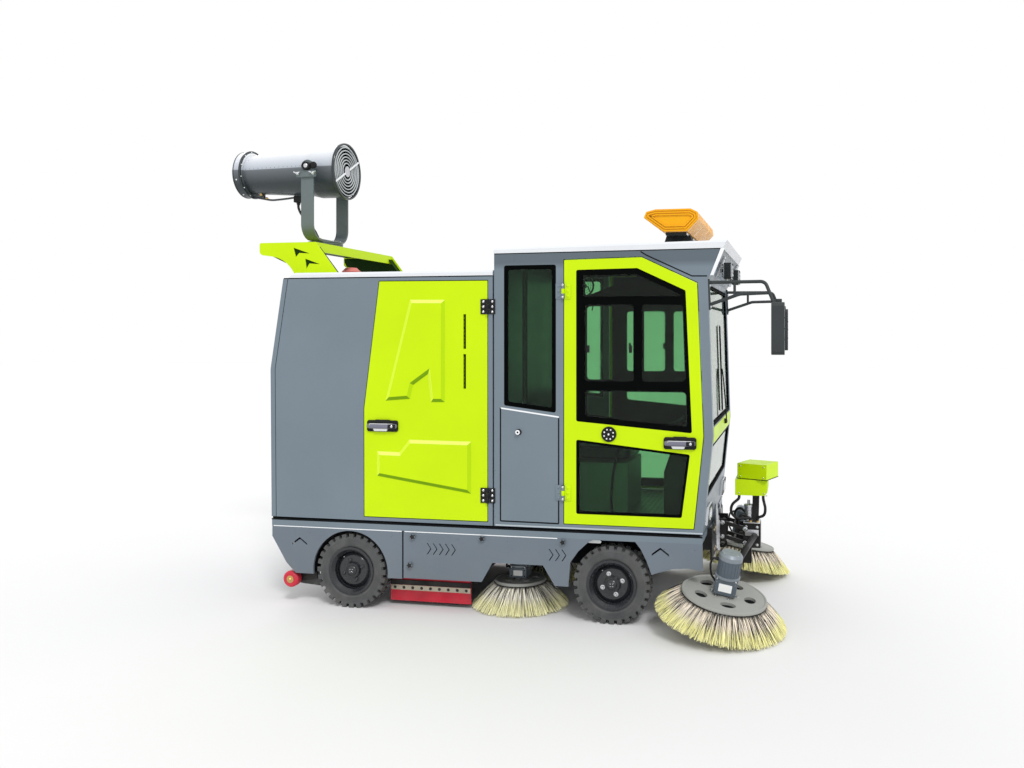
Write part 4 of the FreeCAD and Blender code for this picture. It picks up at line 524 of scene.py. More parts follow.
# The barrel's colour is painted reflection: dark on its lower half and bright on its upper half, changing
# with height.
BARREL_PAINTED_REFLECTION = finish("cannon_grey", "barrel_painted_reflection", (1.0, 1.0, 1.0), 0.32, tone=0.05, coat=0.1, bump=0.02,
                gloss=0.2, painted_light_bands=((2.690, (0.075, 0.085, 0.095)), (2.730, (0.042, 0.052, 0.060)),
                       (2.800, (0.045, 0.055, 0.062)), (2.885, (0.120, 0.135, 0.150)),
                       (2.896, (0.150, 0.165, 0.185)), (2.899, (0.400, 0.430, 0.480)),
                       (2.950, (0.540, 0.570, 0.620)), (3.000, (0.700, 0.720, 0.750)),
                       (3.060, (0.800, 0.810, 0.820))))
FAN_DARK = finish("cannon_grey", "fan_dark", (0.012, 0.014, 0.015), 0.4, tone=0.2, bump=0.05)
GUARD_WIRE = finish("cannon_grey", "guard_wire", (0.46, 0.49, 0.50), 0.6, tone=0.08, bump=0.02, gloss=0.15)
RUBBER_GUARD = finish("frame_black", "guard_rubber", (0.040, 0.048, 0.047), 0.7, tone=0.15, bump=0.2,
                      dust=0.3, dust_top=0.6)
PALE_AMBER = finish("amber_lens", "pale_amber_lens", (0.95, 0.70, 0.34), 0.25, tone=0.05, coat=0.4, bump=0.0)
FILM = finish("glass_tint", "wrap_film", (0.55, 0.62, 0.60), 0.04, tone=0.15, patch=1.2, bump=0.0, gloss=0.25,
              Alpha=0.16, IOR=1.52)
LENS = finish("lamp_clear", "clear_lens", (0.85, 0.88, 0.90), 0.04, tone=0.15, patch=1.2, bump=0.0,
              gloss=0.25, Alpha=0.45, IOR=1.52)
MOTOR_CAP = finish("motor_grey", "motor_cap_paint", (0.21, 0.24, 0.27), 0.42, metal=0.2, tone=0.1, bump=0.1,
                   grain=160)
BEIGE = finish("axle_steel", "beige_strip", (0.52, 0.46, 0.36), 0.45, metal=0.3, tone=0.12, patch=12,
               bump=0.05)
FLOOR_PLATE = finish("cabin_plastic", "floor_plate", (0.20, 0.22, 0.22), 0.4, metal=0.6, tone=0.1, bump=0.08)
FAN_GREY = finish("cabin_plastic", "fan_plastic", (0.22, 0.24, 0.24), 0.5, tone=0.1, bump=0.05)
SEAT_BOX = finish("cabin_plastic", "seat_box_paint", (0.28, 0.33, 0.31), 0.5, tone=0.08, bump=0.05)
# A near-black tone for the dark strands, and for the bristles, which are darker towards their roots.
DARK_ROOT_TONE = (0.022, 0.022, 0.022)
YELLOW_STRANDS = strand_finish("bristles", DARK_ROOT_TONE, (0.95, 0.85, 0.70), (1.0, 0.96, 0.46), 0.16, thinning=0.36)
PALE_STRANDS = strand_finish("pale_bristles", DARK_ROOT_TONE, (0.96, 0.92, 0.78), (1.0, 0.97, 0.58), 0.12,
                             thinning=0.40)
ROLLER_TONE = (0.16, 0.15, 0.13)
ROLLER_STRANDS = strand_finish("roller_bristles", (0.03, 0.03, 0.03), ROLLER_TONE, ROLLER_TONE, 0.1,
                               (0.26, 0.33), dimmed=0.773)

OWN_FINISH = {"side_skirts": SKIRT_GREY, "cannon_barrel": BARREL_PAINTED_REFLECTION, "cannon_fan": FAN_DARK,
              "seat_base": SEAT_BOX}
for row in frame["record"]["subparts"]:
    solid = frame["nodes"][row["node"]]
    paint = OWN_FINISH.get(row["node"], M[row["material_slot"]])
    if not solid.material_slots:
        solid.data.materials.append(paint)
    for holder in solid.material_slots:
        holder.material = paint


# Camera, floor and light

camera_data = bpy.data.cameras.new("camera")
camera_data.sensor_width = 36.0
camera_data.lens = 31.64
camera_data.shift_x = -0.1055
camera_data.shift_y = -0.0487
camera_data.clip_end = 100.0
camera = bpy.data.objects.new("camera", camera_data)
camera.location = (2.0093, -5.9039, 1.7285)
camera.rotation_euler = (math.pi / 2, 0, 0.1975)
bpy.context.scene.collection.objects.link(camera)
bpy.context.scene.camera = camera

bmesh.ops.create_grid(Hand.bm, x_segments=2, y_segments=2, size=40.0)
floor_mesh = bpy.data.meshes.new("floor")
Hand.bm.to_mesh(floor_mesh)
Hand.bm.clear()
floor_mesh.materials.append(finish(None, "studio_floor", (0.72, 0.72, 0.725), 0.85, tone=0.01, patch=0.4,
                                   bump=0.0, gloss=0.0))
floor = bpy.data.objects.new("floor", floor_mesh)
floor.location.z = -0.0005
bpy.context.scene.collection.objects.link(floor)

world = bpy.data.worlds.new("studio")
world.use_nodes = True
world.node_tree.nodes["Background"].inputs["Color"].default_value = (1.0, 1.0, 1.0, 1.0)
world.node_tree.nodes["Background"].inputs["Strength"].default_value = 1.0
bpy.context.scene.world = world
bpy.context.scene.view_settings.view_transform = "Standard"


def soft_sun(name, towards, power, spread):
    """A distant soft lamp; towards is the way from the truck to the lamp."""
    data = bpy.data.lights.new(name, "SUN")
    data.energy = power
    data.angle = math.radians(spread)
    obj = bpy.data.objects.new(name, data)
    obj.location = Vector(towards) * 8
    obj.rotation_euler = Vector(towards).to_track_quat("Z", "Y").to_euler()
    bpy.context.scene.collection.objects.link(obj)


soft_sun("key", (0.35, -0.60, 0.72), 1.5, 14)
soft_sun("fill", (-0.55, 0.65, 0.52), 0.5, 40)


# Outlines shared with the solids

KNEE_X, KNEE_Z, FLOOR_Z = 605.0, 1132.0, 560.0
CAB_DOOR = [(-287.0, 592.0), (-287.0, 2173.0), (185.0, 2182.0), (512.0, 2027.0), (549.0, 1132.0),
            (492.0, 592.0)]
GLASS_UPPER = [(-213.0, 1207.0), (-213.0, 2113.0), (158.0, 2119.0), (445.0, 1984.0), (483.0, 1149.0)]
GLASS_LOWER = [(-213.0, 653.0), (-213.0, 1098.0), (471.0, 1025.0), (422.0, 653.0)]
QUARTER_GLASS = [(-665.0, 1295.0), (-665.0, 2146.0), (-338.0, 2147.0), (-338.0, 1255.0)]


def front_line(z):
    """The x of the cab's front face at a height."""
    if z >= KNEE_Z:
        return KNEE_X + (575.0 - KNEE_X) * (z - KNEE_Z) / (2051.0 - KNEE_Z)
    return 545.0 + (KNEE_X - 545.0) * (z - FLOOR_Z) / (KNEE_Z - FLOOR_Z)


def visor_line(z):
    """The x of the visor's face at a height."""
    return 587.0 + (650.0 - 587.0) * (z - 2070.0) / (2229.0 - 2070.0)


def rear_line(z):
    """The x of the rear door's face at a height."""
    if z <= 1505.0:
        return -2227.0 - 8.0 * (z - 560.0) / 945.0
    return -2235.0 + 91.0 * (z - 1505.0) / 583.0


def roof_height(x):
    """The height of the cab roof's top at a place along the truck."""
    return 2253.0 + 23.0 * (x + 732.0) / 1419.0


# Window seals, hinges and handles

HINGE_H = 92.0

for side_name, side in SIDES:
    for outline in (GLASS_UPPER, GLASS_LOWER):
        border(outline, (0.6, 12), (10, 8), "xz", *skin(side, -0.8, -5.8))
    piece("door_window_seals_" + side_name, SEAL, "cab_door_" + side_name)
    border(QUARTER_GLASS, (0.6, 14), (11, 9), "xz", *skin(side, -0.8, -5.8))
    piece("quarter_window_seal_" + side_name, SEAL)


def hinge_dress(name, x, z, way, side, moving_body, paints=("frame_black", "frame_black")):
    """Leaves with bolts over a hinge; the fixed half lies the given way and has the first paint."""
    third = HINGE_H / 3
    face = side * (HALF_W + 5.5)
    dark = paints[0] == "frame_black"
    for body, out, paint, spans in (("chassis", way, paints[0], ((0, third), (2 * third, HINGE_H))),
                                    (moving_body, -way, paints[1], ((third + 0.6, 2 * third - 0.6),))):
        for low, high in spans:
            span = high - low
            lathe([(9.6, 0), (9.9, 1), (9.9, span - 1), (9.6, span)], at(x, side * (HALF_W + 10), z + low),
                  AXIS_Z, 20)
        inner, outer = skin(side, 0.1, 5.6)
        block((x + out * 10.6, inner, z + 0.2), (x + out * 46.6, outer, z + HINGE_H - 0.2), 0.8)
        piece(name + "_leaf_" + body, M[paint], body)
        for level in (15, 46, 77):
            dome(at(x + out * 28.5, face, z + level), AXIS_Y * side, 8.0, 4.5, 16)
        piece(name + "_bolts_" + body, CHROME if dark else M[paint], body)
    if not dark:
        for level in (10, HINGE_H - 10):
            dome(at(x, side * (HALF_W + 19.5), z + level), AXIS_Y * side, 6.5, 3.0, 16)
        piece(name + "_pin_ends", CHROME)


for side_name, side in SIDES:
    for level, z in (("low", 730.0), ("high", 1940.0)):
        hinge_dress("cab_hinge_%s_%s" % (level, side_name), -292.0, z, -1, side, "cab_door_" + side_name,
                    ("panel_grey", "panel_green"))
    for level, z in (("low", 698.0), ("high", 1850.0)):
        hinge_dress("side_hinge_%s_%s" % (level, side_name), -767.0, z, 1, side, "side_door_" + side_name)
for level, z in (("low", 760.0), ("high", 1330.0)):
    hinge_dress("rear_hinge_" + level, -2208.0, z, 1, 1, "rear_door")


def paddle(name, x, z, length, side, body):
    """A dark handle plate with a long grey grip, a pale lip under it and a lock at its end."""
    end = x + length
    prism(round_box(x - 1.5, z - 35.5, end + 1.5, z + 35.5, 17, 6), "xz", *skin(side, 0.2, 9.2), 2.5)
    frame_strip(round_box(x + 12, z - 24, end - 12, z + 24, 12, 6),
                round_box(x + 17, z - 19, end - 17, z + 19, 9, 6), "xz", *skin(side, 9, 13))
    prism(rounded([(x + 40, z + 12), (end - 40, z + 12), (end - 56, z + 39), (x + 56, z + 39)], 4), "xz",
          *skin(side, 0.2, 16), 1.5)
    piece(name + "_plate", BLACK, body)
    grip = [(10, -15.5), (24, -16), (31, -9), (32, 4), (27, 15.5), (10, 15.5)]
    rings = []
    for where, scale in ((x + 3, 0.62), (x + 12, 0.92), (x + 40, 1.0), (end - 40, 1.0), (end - 12, 0.92),
                         (end - 3, 0.62)):
        rings.append([at(where, side * (HALF_W + out * scale + (1 - scale) * 8), z + h * scale)
                      for out, h in grip])
    bevel(link_rings(rings), 2.5, 3)
    piece(name + "_grip", GRIP, body)
    prism(rounded([(x + 44, z - 15), (end - 62, z - 15), (end - 70, z - 31), (x + 54, z - 31)], 4), "xz",
          *skin(side, 0.2, 22), 2.0)
    inner, outer = skin(side, 26, 29.5)
    block((x + 26, inner, z + 12.5), (end - 26, outer, z + 16.5), 1.0)
    piece(name + "_lip", GRIP_LIP, body)
    lock_x = end - 30
    prism(round_box(lock_x - 26, z - 13, lock_x + 24, z + 13, 5), "xz", *skin(side, 30, 33.2), 0.8)
    piece(name + "_lock_plate", BLACK, body)
    lathe([(8, 0), (8, 2), (6.5, 3)], at(lock_x, side * (HALF_W + 33), z), AXIS_Y * side, 20)
    piece(name + "_trim", CHROME, body)


for side_name, side in SIDES:
    paddle("cab_handle_" + side_name, 318, 1090, 190, side, "cab_door_" + side_name)
    paddle("side_handle_" + side_name, -1560, 1155, 205, side, "side_door_" + side_name)


# Round vent in the cab door, slots in the side door, lock, hatch and knobs

LOCK_X, LOCK_Z = -572, 1135
SLOT_X, SLOT_HALF, SLOT_DEPTH = -918.0, 7.4, 14
HATCH_LEFT, HATCH_RIGHT = -687, -321


def star_knob(spot, away):
    """A five-lobed knob on a collar."""
    lathe([(12.5, 0), (12.5, 7), (10, 9)], spot, away, 20)
    u, v = side_frame(away)
    link_rings([[spot + heading(u, v, a) * ((15.6 + 2.6 * math.cos(5 * a)) * scale / 1000) + away * (h / 1000)
                 for a in turns(40)] for h, scale in ((7.4, 0.86), (9.4, 1.0), (14.5, 1.0), (17.2, 0.82),
                                                      (17.6, 0.4))])


for side_name, side in SIDES:
    away = AXIS_Y * side
    centre = at(-12, side * (HALF_W + 9), 1134)
    lathe([(45.5, -9), (45.5, -1), (43, 2.4), (37, 2.8), (35.5, 0.8)], centre, away, 48)
    lathe([(13, 0.5), (13, 3.0), (9, 5.2)], centre, away, 24)
    for a in turns(5, 0.5):
        lathe([(4.0, 0.5), (4.0, 2.6), (3.0, 3.4)], centre + upright(a, 18), away, 10)
    piece("door_vent_" + side_name, BLACK, "cab_door_" + side_name)
    for a in turns(8, 0.35):
        dome(centre + upright(a, 29) + away * 0.0012, away, 5.0, 3.0)
    dome(centre + away * 0.005, away, 6.0, 2.4)
    piece("door_vent_studs_" + side_name, WHITE_TRIM_AND_HIGHLIGHT, "cab_door_" + side_name)

    middle = side * (HALF_W - SLOT_DEPTH)
    back = middle - side * 8
    for low in (1393.0, 1638.0):
        for index in range(9):
            z = low + 12 + index * 23.6
            block((SLOT_X - SLOT_HALF, middle - 3, z - 5), (SLOT_X + SLOT_HALF, middle + 3, z + 5))
        block((SLOT_X - 8.2, back - 2, low + 1), (SLOT_X + 8.2, back + 2, low + 212))
    piece("side_slots_" + side_name, DARK, "side_door_" + side_name)

    lock = at(LOCK_X, side * HALF_W, LOCK_Z)
    lathe([(19, 0), (19, 3), (16, 5), (10, 5.5), (10, 12), (14, 14), (14, 20), (10, 22)], lock, away, 32)
    block((LOCK_X - 6, middle + side * 28 - 8, LOCK_Z - 15),
          (LOCK_X + 6, middle + side * 28 + 8, LOCK_Z + 15), 3)
    piece("wall_lock_" + side_name, BLACK)
    wheel_ring([(5, 20), (13.5, 20), (14.5, 21.5), (13.5, 23), (6, 23)], lock, away, 32)
    piece("wall_lock_ring_" + side_name, WHITE_TRIM_AND_HIGHLIGHT)
    flat_line([(HATCH_LEFT, 1281), (HATCH_LEFT, 592), (HATCH_RIGHT, 590), (HATCH_RIGHT, 1224)], 8,
              *skin(side, 0.1, 0.9))
    piece("hatch_seam_" + side_name, DARK)
    # A white line along the hatch's upper edge: painted highlight.
    flat_line([(HATCH_LEFT - 1, 1279), (HATCH_RIGHT + 1, 1230)], 9, *skin(side, 0.1, 0.9))
    piece("hatch_painted_highlight_" + side_name, WHITE_TRIM_AND_HIGHLIGHT)
    for x, z in ((-1255.0, 473.0), (-803.0, 480.0), (-1275.0, 294.0), (-293.0, 481.0)):
        star_knob(at(x, side * HALF_W, z), away)
    piece("skirt_knobs_" + side_name, BLACK)


# Painted highlight and painted shade on the slopes of the side doors' raised fields

DOOR_PRESSINGS = (
    [(-1273.0, 1938.0), (-1051.0, 1936.0), (-1051.0, 1313.0), (-1134.0, 1312.0), (-1155.0, 1488.0),
     (-1259.0, 1415.0), (-1280.0, 1330.0), (-1435.0, 1317.0)],
    [(-1280.0, 1068.0), (-880.0, 1065.0), (-880.0, 755.0), (-1492.0, 845.0), (-1492.0, 991.0),
     (-1344.0, 988.0)])
PRESSING_BEVEL, PRESSING_H = 14.0, 10.0
# Upward slopes get the painted highlight and downward ones the painted shade. Slopes facing back get the
# softer painted highlight, and slopes facing forward the softer painted shade.
PRESSING_SLOPES = (("lit", SLOPE_PAINTED_HIGHLIGHT, lambda forward, up: up > 0.75),
                   ("shaded", SLOPE_PAINTED_SHADE, lambda forward, up: up < -0.3),
                   ("rear", SLOPE_PAINTED_SOFT_HIGHLIGHT, lambda forward, up: -0.3 <= up <= 0.75 and forward < 0),
                   ("front", SLOPE_PAINTED_SOFT_SHADE, lambda forward, up: -0.3 <= up <= 0.75 and forward > 0))


def slope_strips(outline, side, wanted):
    """Thin strips on the slopes whose outward heading, forward and up, meets the wanted test."""
    levels = [(inset(outline, distance), out) for distance, out in
              ((-4.0, 0.0), (0.001, 0.5), (PRESSING_BEVEL, PRESSING_H + 0.5),
               (PRESSING_BEVEL + 3.0, PRESSING_H))]
    turn = winding(outline)
    for i in range(len(outline)):
        along = Vector(outline[i]) - Vector(outline[i - 1])
        if wanted(along.y / along.length * turn, -along.x / along.length * turn):
            link_rings([[at(x, side * (HALF_W + out + lift), z) for (x, z), lift in
                         ((edge[i - 1], 0.15), (edge[i], 0.15), (edge[i], 0.55), (edge[i - 1], 0.55))]
                        for edge, out in levels])


for side_name, side in SIDES:
    for kind, material, wanted in PRESSING_SLOPES:
        for outline in DOOR_PRESSINGS:
            slope_strips(outline, side, wanted)
        piece("pressing_%s_slopes_%s" % (kind, side_name), material, "side_door_" + side_name, crease=60)


# Brushes

PLATE_H = 22
MID_BRUSH = (-655, 375, 150)


def strands(name, body, make, count, seed, material, replaces=(), sides=3):
    """Many thin tapering bristles; make gives a bristle's places from a random source."""
    rng = random.Random(seed)
    verts, faces, tones = [], [], []
    for _ in range(count):
        points, radius = make(rng)
        tone = rng.random()
        first = len(verts)
        last = len(points) - 1
        u, v = side_frame((points[-1] - points[0]).normalized())
        spin = rng.random() * 6.28
        for step, place in enumerate(points):
            share = step / last
            r = radius * (1.0 - 0.35 * share) / 1000
            for a in turns(sides, spin):
                verts.append(place + heading(u, v, a) * r)
                tones.append((tone, share, rng.random() * 0.05, 1.0))
        for step in range(last):
            low, high = first + step * sides, first + (step + 1) * sides
            for k in range(sides):
                n = (k + 1) % sides
                faces.append((low + k, low + n, high + n, high + k))
        faces.append(tuple(first + last * sides + k for k in range(sides)))
        faces.append(tuple(first + k for k in reversed(range(sides))))
    mesh = bpy.data.meshes.new(name)
    mesh.from_pydata([tuple(v) for v in verts], [], faces)
    layer = mesh.color_attributes.new("strand", "FLOAT_COLOR", "POINT")
    layer.data.foreach_set("color", np.array(tones, dtype=np.float32).ravel())
    mesh.update()
    place_object(name, mesh, material, body, replaces)


def brush_axis(side):
    pitch, roll = math.radians(10.5), math.radians(6.5)
    return Vector((math.sin(pitch) * math.cos(roll), side * math.sin(roll), math.cos(pitch) * math.cos(roll)))


def brush_hub(side):
    """The middle of a front brush plate, so high that the leaning bristles just reach the floor."""
    axis = brush_axis(side)
    lean = math.sqrt(1 - axis.z * axis.z)
    return at(668, side * 675, 128 * axis.z + 390 * lean + 1.0)


def bristle_maker(hub, axis, roots, tips, height):
    """Gives bristles that splay from a ring of roots to a ring of tips, gathered in sixty bundles."""
    u, v = side_frame(axis)

    def make(rng):
        a = rng.random() * 2 * math.pi
        bundle = round(a / (2 * math.pi) * 60) / 60 * 2 * math.pi
        a = a + (bundle - a) * 0.55
        ring = rng.random()
        root = roots[0] + (roots[1] - roots[0]) * ring
        tip = tips[0] + (tips[1] - tips[0]) * min(1.0, max(0.0, ring + rng.gauss(0, 0.18)))
        twist = rng.gauss(0, 0.035)
        drop = height * (1.0 - 0.10 * rng.random())
        points = []
        for t in (0.0, 0.33, 0.68, 1.0):
            r = root + (tip - root) * (t ** 0.92)
            h = 4.0 + (-drop - 4.0) * (t ** 1.08)
            points.append(hub + heading(u, v, a + twist * t) * (r / 1000) + axis * (h / 1000))
        return points, 1.9 * (0.8 + 0.4 * rng.random())
    return make


def brush_plate(name, body, hub, axis, radius, hole_r, hole_reach, phase=0.0):
    """A brush plate with a rolled rim, five dark holes and a bolted hub."""
    bm = Hand.bm
    u, v = side_frame(axis)
    top = PLATE_H - 4

    def spot(x, y, h):
        return hub + (u * x + v * y + axis * h) / 1000

    loops = [[spot((radius - 14) * math.cos(a), (radius - 14) * math.sin(a), top) for a in turns(80)]]
    for a in turns(5, phase):
        ring = []
        for b in turns(24):
            along, across = hole_reach + hole_r * 0.85 * math.cos(b), hole_r * 1.12 * math.sin(b)
            ring.append(spot(along * math.cos(a) - across * math.sin(a),
                             along * math.sin(a) + across * math.cos(a), top))
        loops.append(ring)
    loops = [[bm.verts.new(p) for p in ring] for ring in loops]
    edges = [bm.edges.new((ring[i - 1], ring[i])) for ring in loops for i in range(len(ring))]
    bmesh.ops.triangle_fill(bm, use_beauty=True, use_dissolve=False, edges=edges, normal=axis)
    for loop in loops:
        low = [bm.verts.new(p.co - axis * ((top - 1) / 1000)) for p in loop]
        for i in range(len(loop)):
            bm.faces.new((loop[i - 1], loop[i], low[i], low[i - 1]))
    wheel_ring([(radius - 16, top), (radius - 10, PLATE_H), (radius - 3, PLATE_H - 1), (radius, PLATE_H - 8),
                (radius, 6), (radius - 8, 0), (radius - 16, 2)], hub, axis, 96)
    lathe([(radius * 0.24, top - 1), (radius * 0.24, top + 3), (radius * 0.2, top + 6), (16, top + 6)], hub,
          axis, 40)
    piece(name, M["brush_mix"], body, replaces=(body,))
    lathe([(radius - 20, -6), (radius - 20, 1.5), (20, 1.5), (20, -6)], hub, axis, 64)
    piece(name + "_core", DARK, body)
    for a in turns(6, 0.4):
        bolt(spot(radius * 0.3 * math.cos(a), radius * 0.3 * math.sin(a), top), axis, 6, 5)
    piece(name + "_bolts", CHROME, body)


def mid_hub(side):
    return at(MID_BRUSH[0], side * MID_BRUSH[1], MID_BRUSH[2])


for side_name, side in SIDES:
    hub, axis = brush_hub(side), brush_axis(side)
    body = "front_brush_" + side_name
    brush_plate("front_plate_" + side_name, body, hub, axis, 250, 40, 150, side * -0.85)
    strands("front_bristles_" + side_name, body, bristle_maker(hub, axis, (186, 240), (300, 386), 127), 4600,
            11 + side, YELLOW_STRANDS)
    body = "mid_brush_" + side_name
    brush_plate("mid_plate_" + side_name, body, mid_hub(side), AXIS_Z, 165, 24, 95)
    strands("mid_bristles_" + side_name, body,
            bristle_maker(mid_hub(side), AXIS_Z, (118, 158), (225, 307), 147), 3400, 21 + side, PALE_STRANDS)


# Window frames, borders and the white lips of the visor

PANES = (
    ([(-213.0, 1928.0), (-213.0, 2113.0), (158.0, 2119.0), (445.0, 1984.0), (447.6, 1928.0)],
     [(-180.0, 1947.0), (-180.0, 2084.0), (150.0, 2089.0), (424.0, 1962.0), (424.0, 1947.0)], 18),
    ([(-213.0, 1421.0), (-213.0, 1928.0), (161.0, 1928.0), (161.0, 1421.0)],
     [(-168.0, 1443.0), (-168.0, 1909.0), (142.0, 1909.0), (142.0, 1443.0)], 24),
    ([(161.0, 1421.0), (161.0, 1928.0), (447.6, 1928.0), (470.7, 1421.0)],
     [(180.0, 1443.0), (180.0, 1908.0), (436.0, 1906.0), (452.0, 1445.0)], 24),
    ([(-213.0, 1207.0), (-213.0, 1421.0), (470.7, 1421.0), (483.0, 1149.0)],
     [(-168.0, 1234.0), (-168.0, 1399.0), (456.0, 1399.0), (462.0, 1180.0)], 24),
)
FRONT_HALF = 613.0


def on_front(line, y, z, depth):
    """A place at a depth in front of the cab's sloping front."""
    return at(line(z) + depth, y, z)


def front_strip(outer, inner, back, front):
    """A flat frame on the cab's front, between two outlines of (y, z)."""
    link_rings([[on_front(front_line, *p, depth)
                 for p, depth in ((a, back), (a, front), (b, front), (b, back))]
                for a, b in zip(outer, inner)], cyclic=True)


for side_name, side in SIDES:
    door = "cab_door_" + side_name
    for outer, inner, radius in PANES:
        frame_strip(rounded(outer, 3), rounded(inset(inner, 5), radius), "xz", *skin(side, -5.8, -1.6))
    border(GLASS_LOWER, (3, 8), (15, 10), "xz", *skin(side, -5.8, -4.6))
    piece("door_window_frame_" + side_name, SEAL, door)
    back, front = skin(side, -5.7, 3)
    for x in (-140.0, 118.0):
        block((x - 9, back, 1618.0), (x + 9, front, 1662.0), 2.5)
    piece("window_catches_" + side_name, BLACK, door)
    border(QUARTER_GLASS, (3, 12), (26, 20), "xz", *skin(side, -5.8, -4.6))
    piece("quarter_window_border_" + side_name, SEAL)
    prism([(visor_line(2071) + 0.3, 2071), (visor_line(2071) + 20, 2071), (visor_line(2228) + 22, 2228),
           (visor_line(2228) + 0.3, 2228)], "xz", *skin(side, -20, 0), 1.5)
    piece("visor_lip_" + side_name, WHITE_TRIM_AND_HIGHLIGHT)
    # The black lines under the roof's edge and along the body's top are painted shadow; the line along the
    # visor is its seam.
    prism([(-727, 2214.5), (648, 2223.5), (648, 2228.5), (-727, 2219.5)], "xz", *skin(side, -0.2, 0.9))
    prism([(-737, 2081.5), (-2140, 2081.5), (-2139, 2087.5), (-737, 2087.5)], "xz", *skin(side, -0.2, 0.9))
    flat_line([(178, 2216), (211, 2195), (483, 2068), (571, 2067)], 7, *skin(side, -0.2, 0.9))
    piece("roof_painted_shadows_and_seam_" + side_name, DARK)
    holes = [rounded(inset(inner, 14), radius) for _, inner, radius in PANES]
    holes.append(rounded(inset(GLASS_LOWER, 14), 18))
    pierced(rounded(inset(CAB_DOOR, 20), 10), holes, "xz", *skin(side, -35.3, -37.8))
    piece("door_inner_trim_" + side_name, SEAL, door)

for low, high in ((1184.0, 2020.0), (770.0, 1080.0)):
    front_strip(round_box(-FRONT_HALF + 0.6, low + 0.6, FRONT_HALF - 0.6, high - 0.6, 14),
                round_box(-FRONT_HALF + 24, low + 20, FRONT_HALF - 24, high - 20, 22), -11.6, -4.0)
piece("front_window_seals", SEAL)

link_rings([[on_front(front_line, y, z, depth)
             for y, depth in ((-612, 0.3), (-612, 1.9), (612, 1.9), (612, 0.3))]
            for z in (1086.0, 1131.0, 1133.0, 1178.0)])
piece("front_knee_band", M["panel_green"])

pivot = on_front(front_line, 120, 1150, 2.0)
lathe([(17, 0), (17, 12), (12, 18), (6, 20)], pivot, AXIS_X, 20)
arm = [on_front(front_line, y, z, depth) for y, z, depth in ((100, 1240, 16), (60, 1420, 10), (40, 1500, 4))]
tube(curve_through([pivot + AXIS_X * 0.014] + arm, 6), 4.5, 8)
tube([on_front(front_line, 44, z, -1) for z in (1230, 1400, 1600, 1780)], 4.0, 6)
tube([on_front(front_line, 44, z, -6) for z in (1222, 1400, 1600, 1788)], 2.6, 6)
piece("wiper", BLACK)


# Warning light bar

LIGHT_BAR_END = [(286.0, 2352.0), (430.0, 2352.0), (500.0, 2425.0), (494.0, 2468.0), (450.0, 2490.0),
                 (235.0, 2490.0), (178.0, 2476.0), (163.0, 2440.0)]
LIGHT_BAR_HALF, LIGHT_BAR_JOINT = 475.0, 158
LENS_RIBS = 34

for side_name, side in SIDES:
    for start in (3, 17, 31):
        border(LIGHT_BAR_END, (start, 9), (start + 7, 6), "xz", side * (LIGHT_BAR_HALF - 0.5),
               side * (LIGHT_BAR_HALF + 5 + start * 0.12))
    piece("light_bar_end_ribs_" + side_name, M["amber_lens"])
for y in (-LIGHT_BAR_HALF + 9, -LIGHT_BAR_JOINT, LIGHT_BAR_JOINT, LIGHT_BAR_HALF - 9):
    border(LIGHT_BAR_END, (-0.9, 10), (2, 8), "xz", y - 6, y + 6)
piece("light_bar_pale_rims", PALE_AMBER)
for index in range(LENS_RIBS):
    y = -LIGHT_BAR_HALF + 26 + index * (2 * LIGHT_BAR_HALF - 52) / (LENS_RIBS - 1)
    if abs(abs(y) - LIGHT_BAR_JOINT) > 12:
        border(LIGHT_BAR_END, (-0.5, 10), (2, 8), "xz", y - 2.2, y + 2.2, 3)
piece("light_bar_lens_ribs", M["amber_lens"])
block((294.5, -452, 2332.5), (421.5, 452, 2351.7), 2.0)
for side in WAYS:
    foot = [(260.5, roof_height(260.5) + 0.4), (284.6, 2343), (431.4, 2343),
            (455.5, roof_height(455.5) + 0.4)]
    prism(foot, "xz", side * 248.5, side * 341.5, 1.0)
piece("light_bar_base", PLASTIC)
for y in (-395, -300, -205, -60, 60, 205, 300, 395):
    for x0, x1 in ((421.5, 423.2), (292.8, 294.5)):
        block((x0, y - 36, 2336), (x1, y + 36, 2349), 0.6)
piece("light_bar_reflectors", BLANK)


# Front and rear lamps

HEADLAMP_Y, HEADLAMP_Z = 500.0, 652
WORK_LAMP_Y, WORK_LAMP_FACE = 325.0, 691.9
TAIL_LAMP_Y, TAIL_LAMP_FACE = 545.0, -2236.0


def around(y, z, half_y, half_z, radius):
    """A rounded outline about a middle."""
    return round_box(y - half_y, z - half_z, y + half_y, z + half_z, radius)


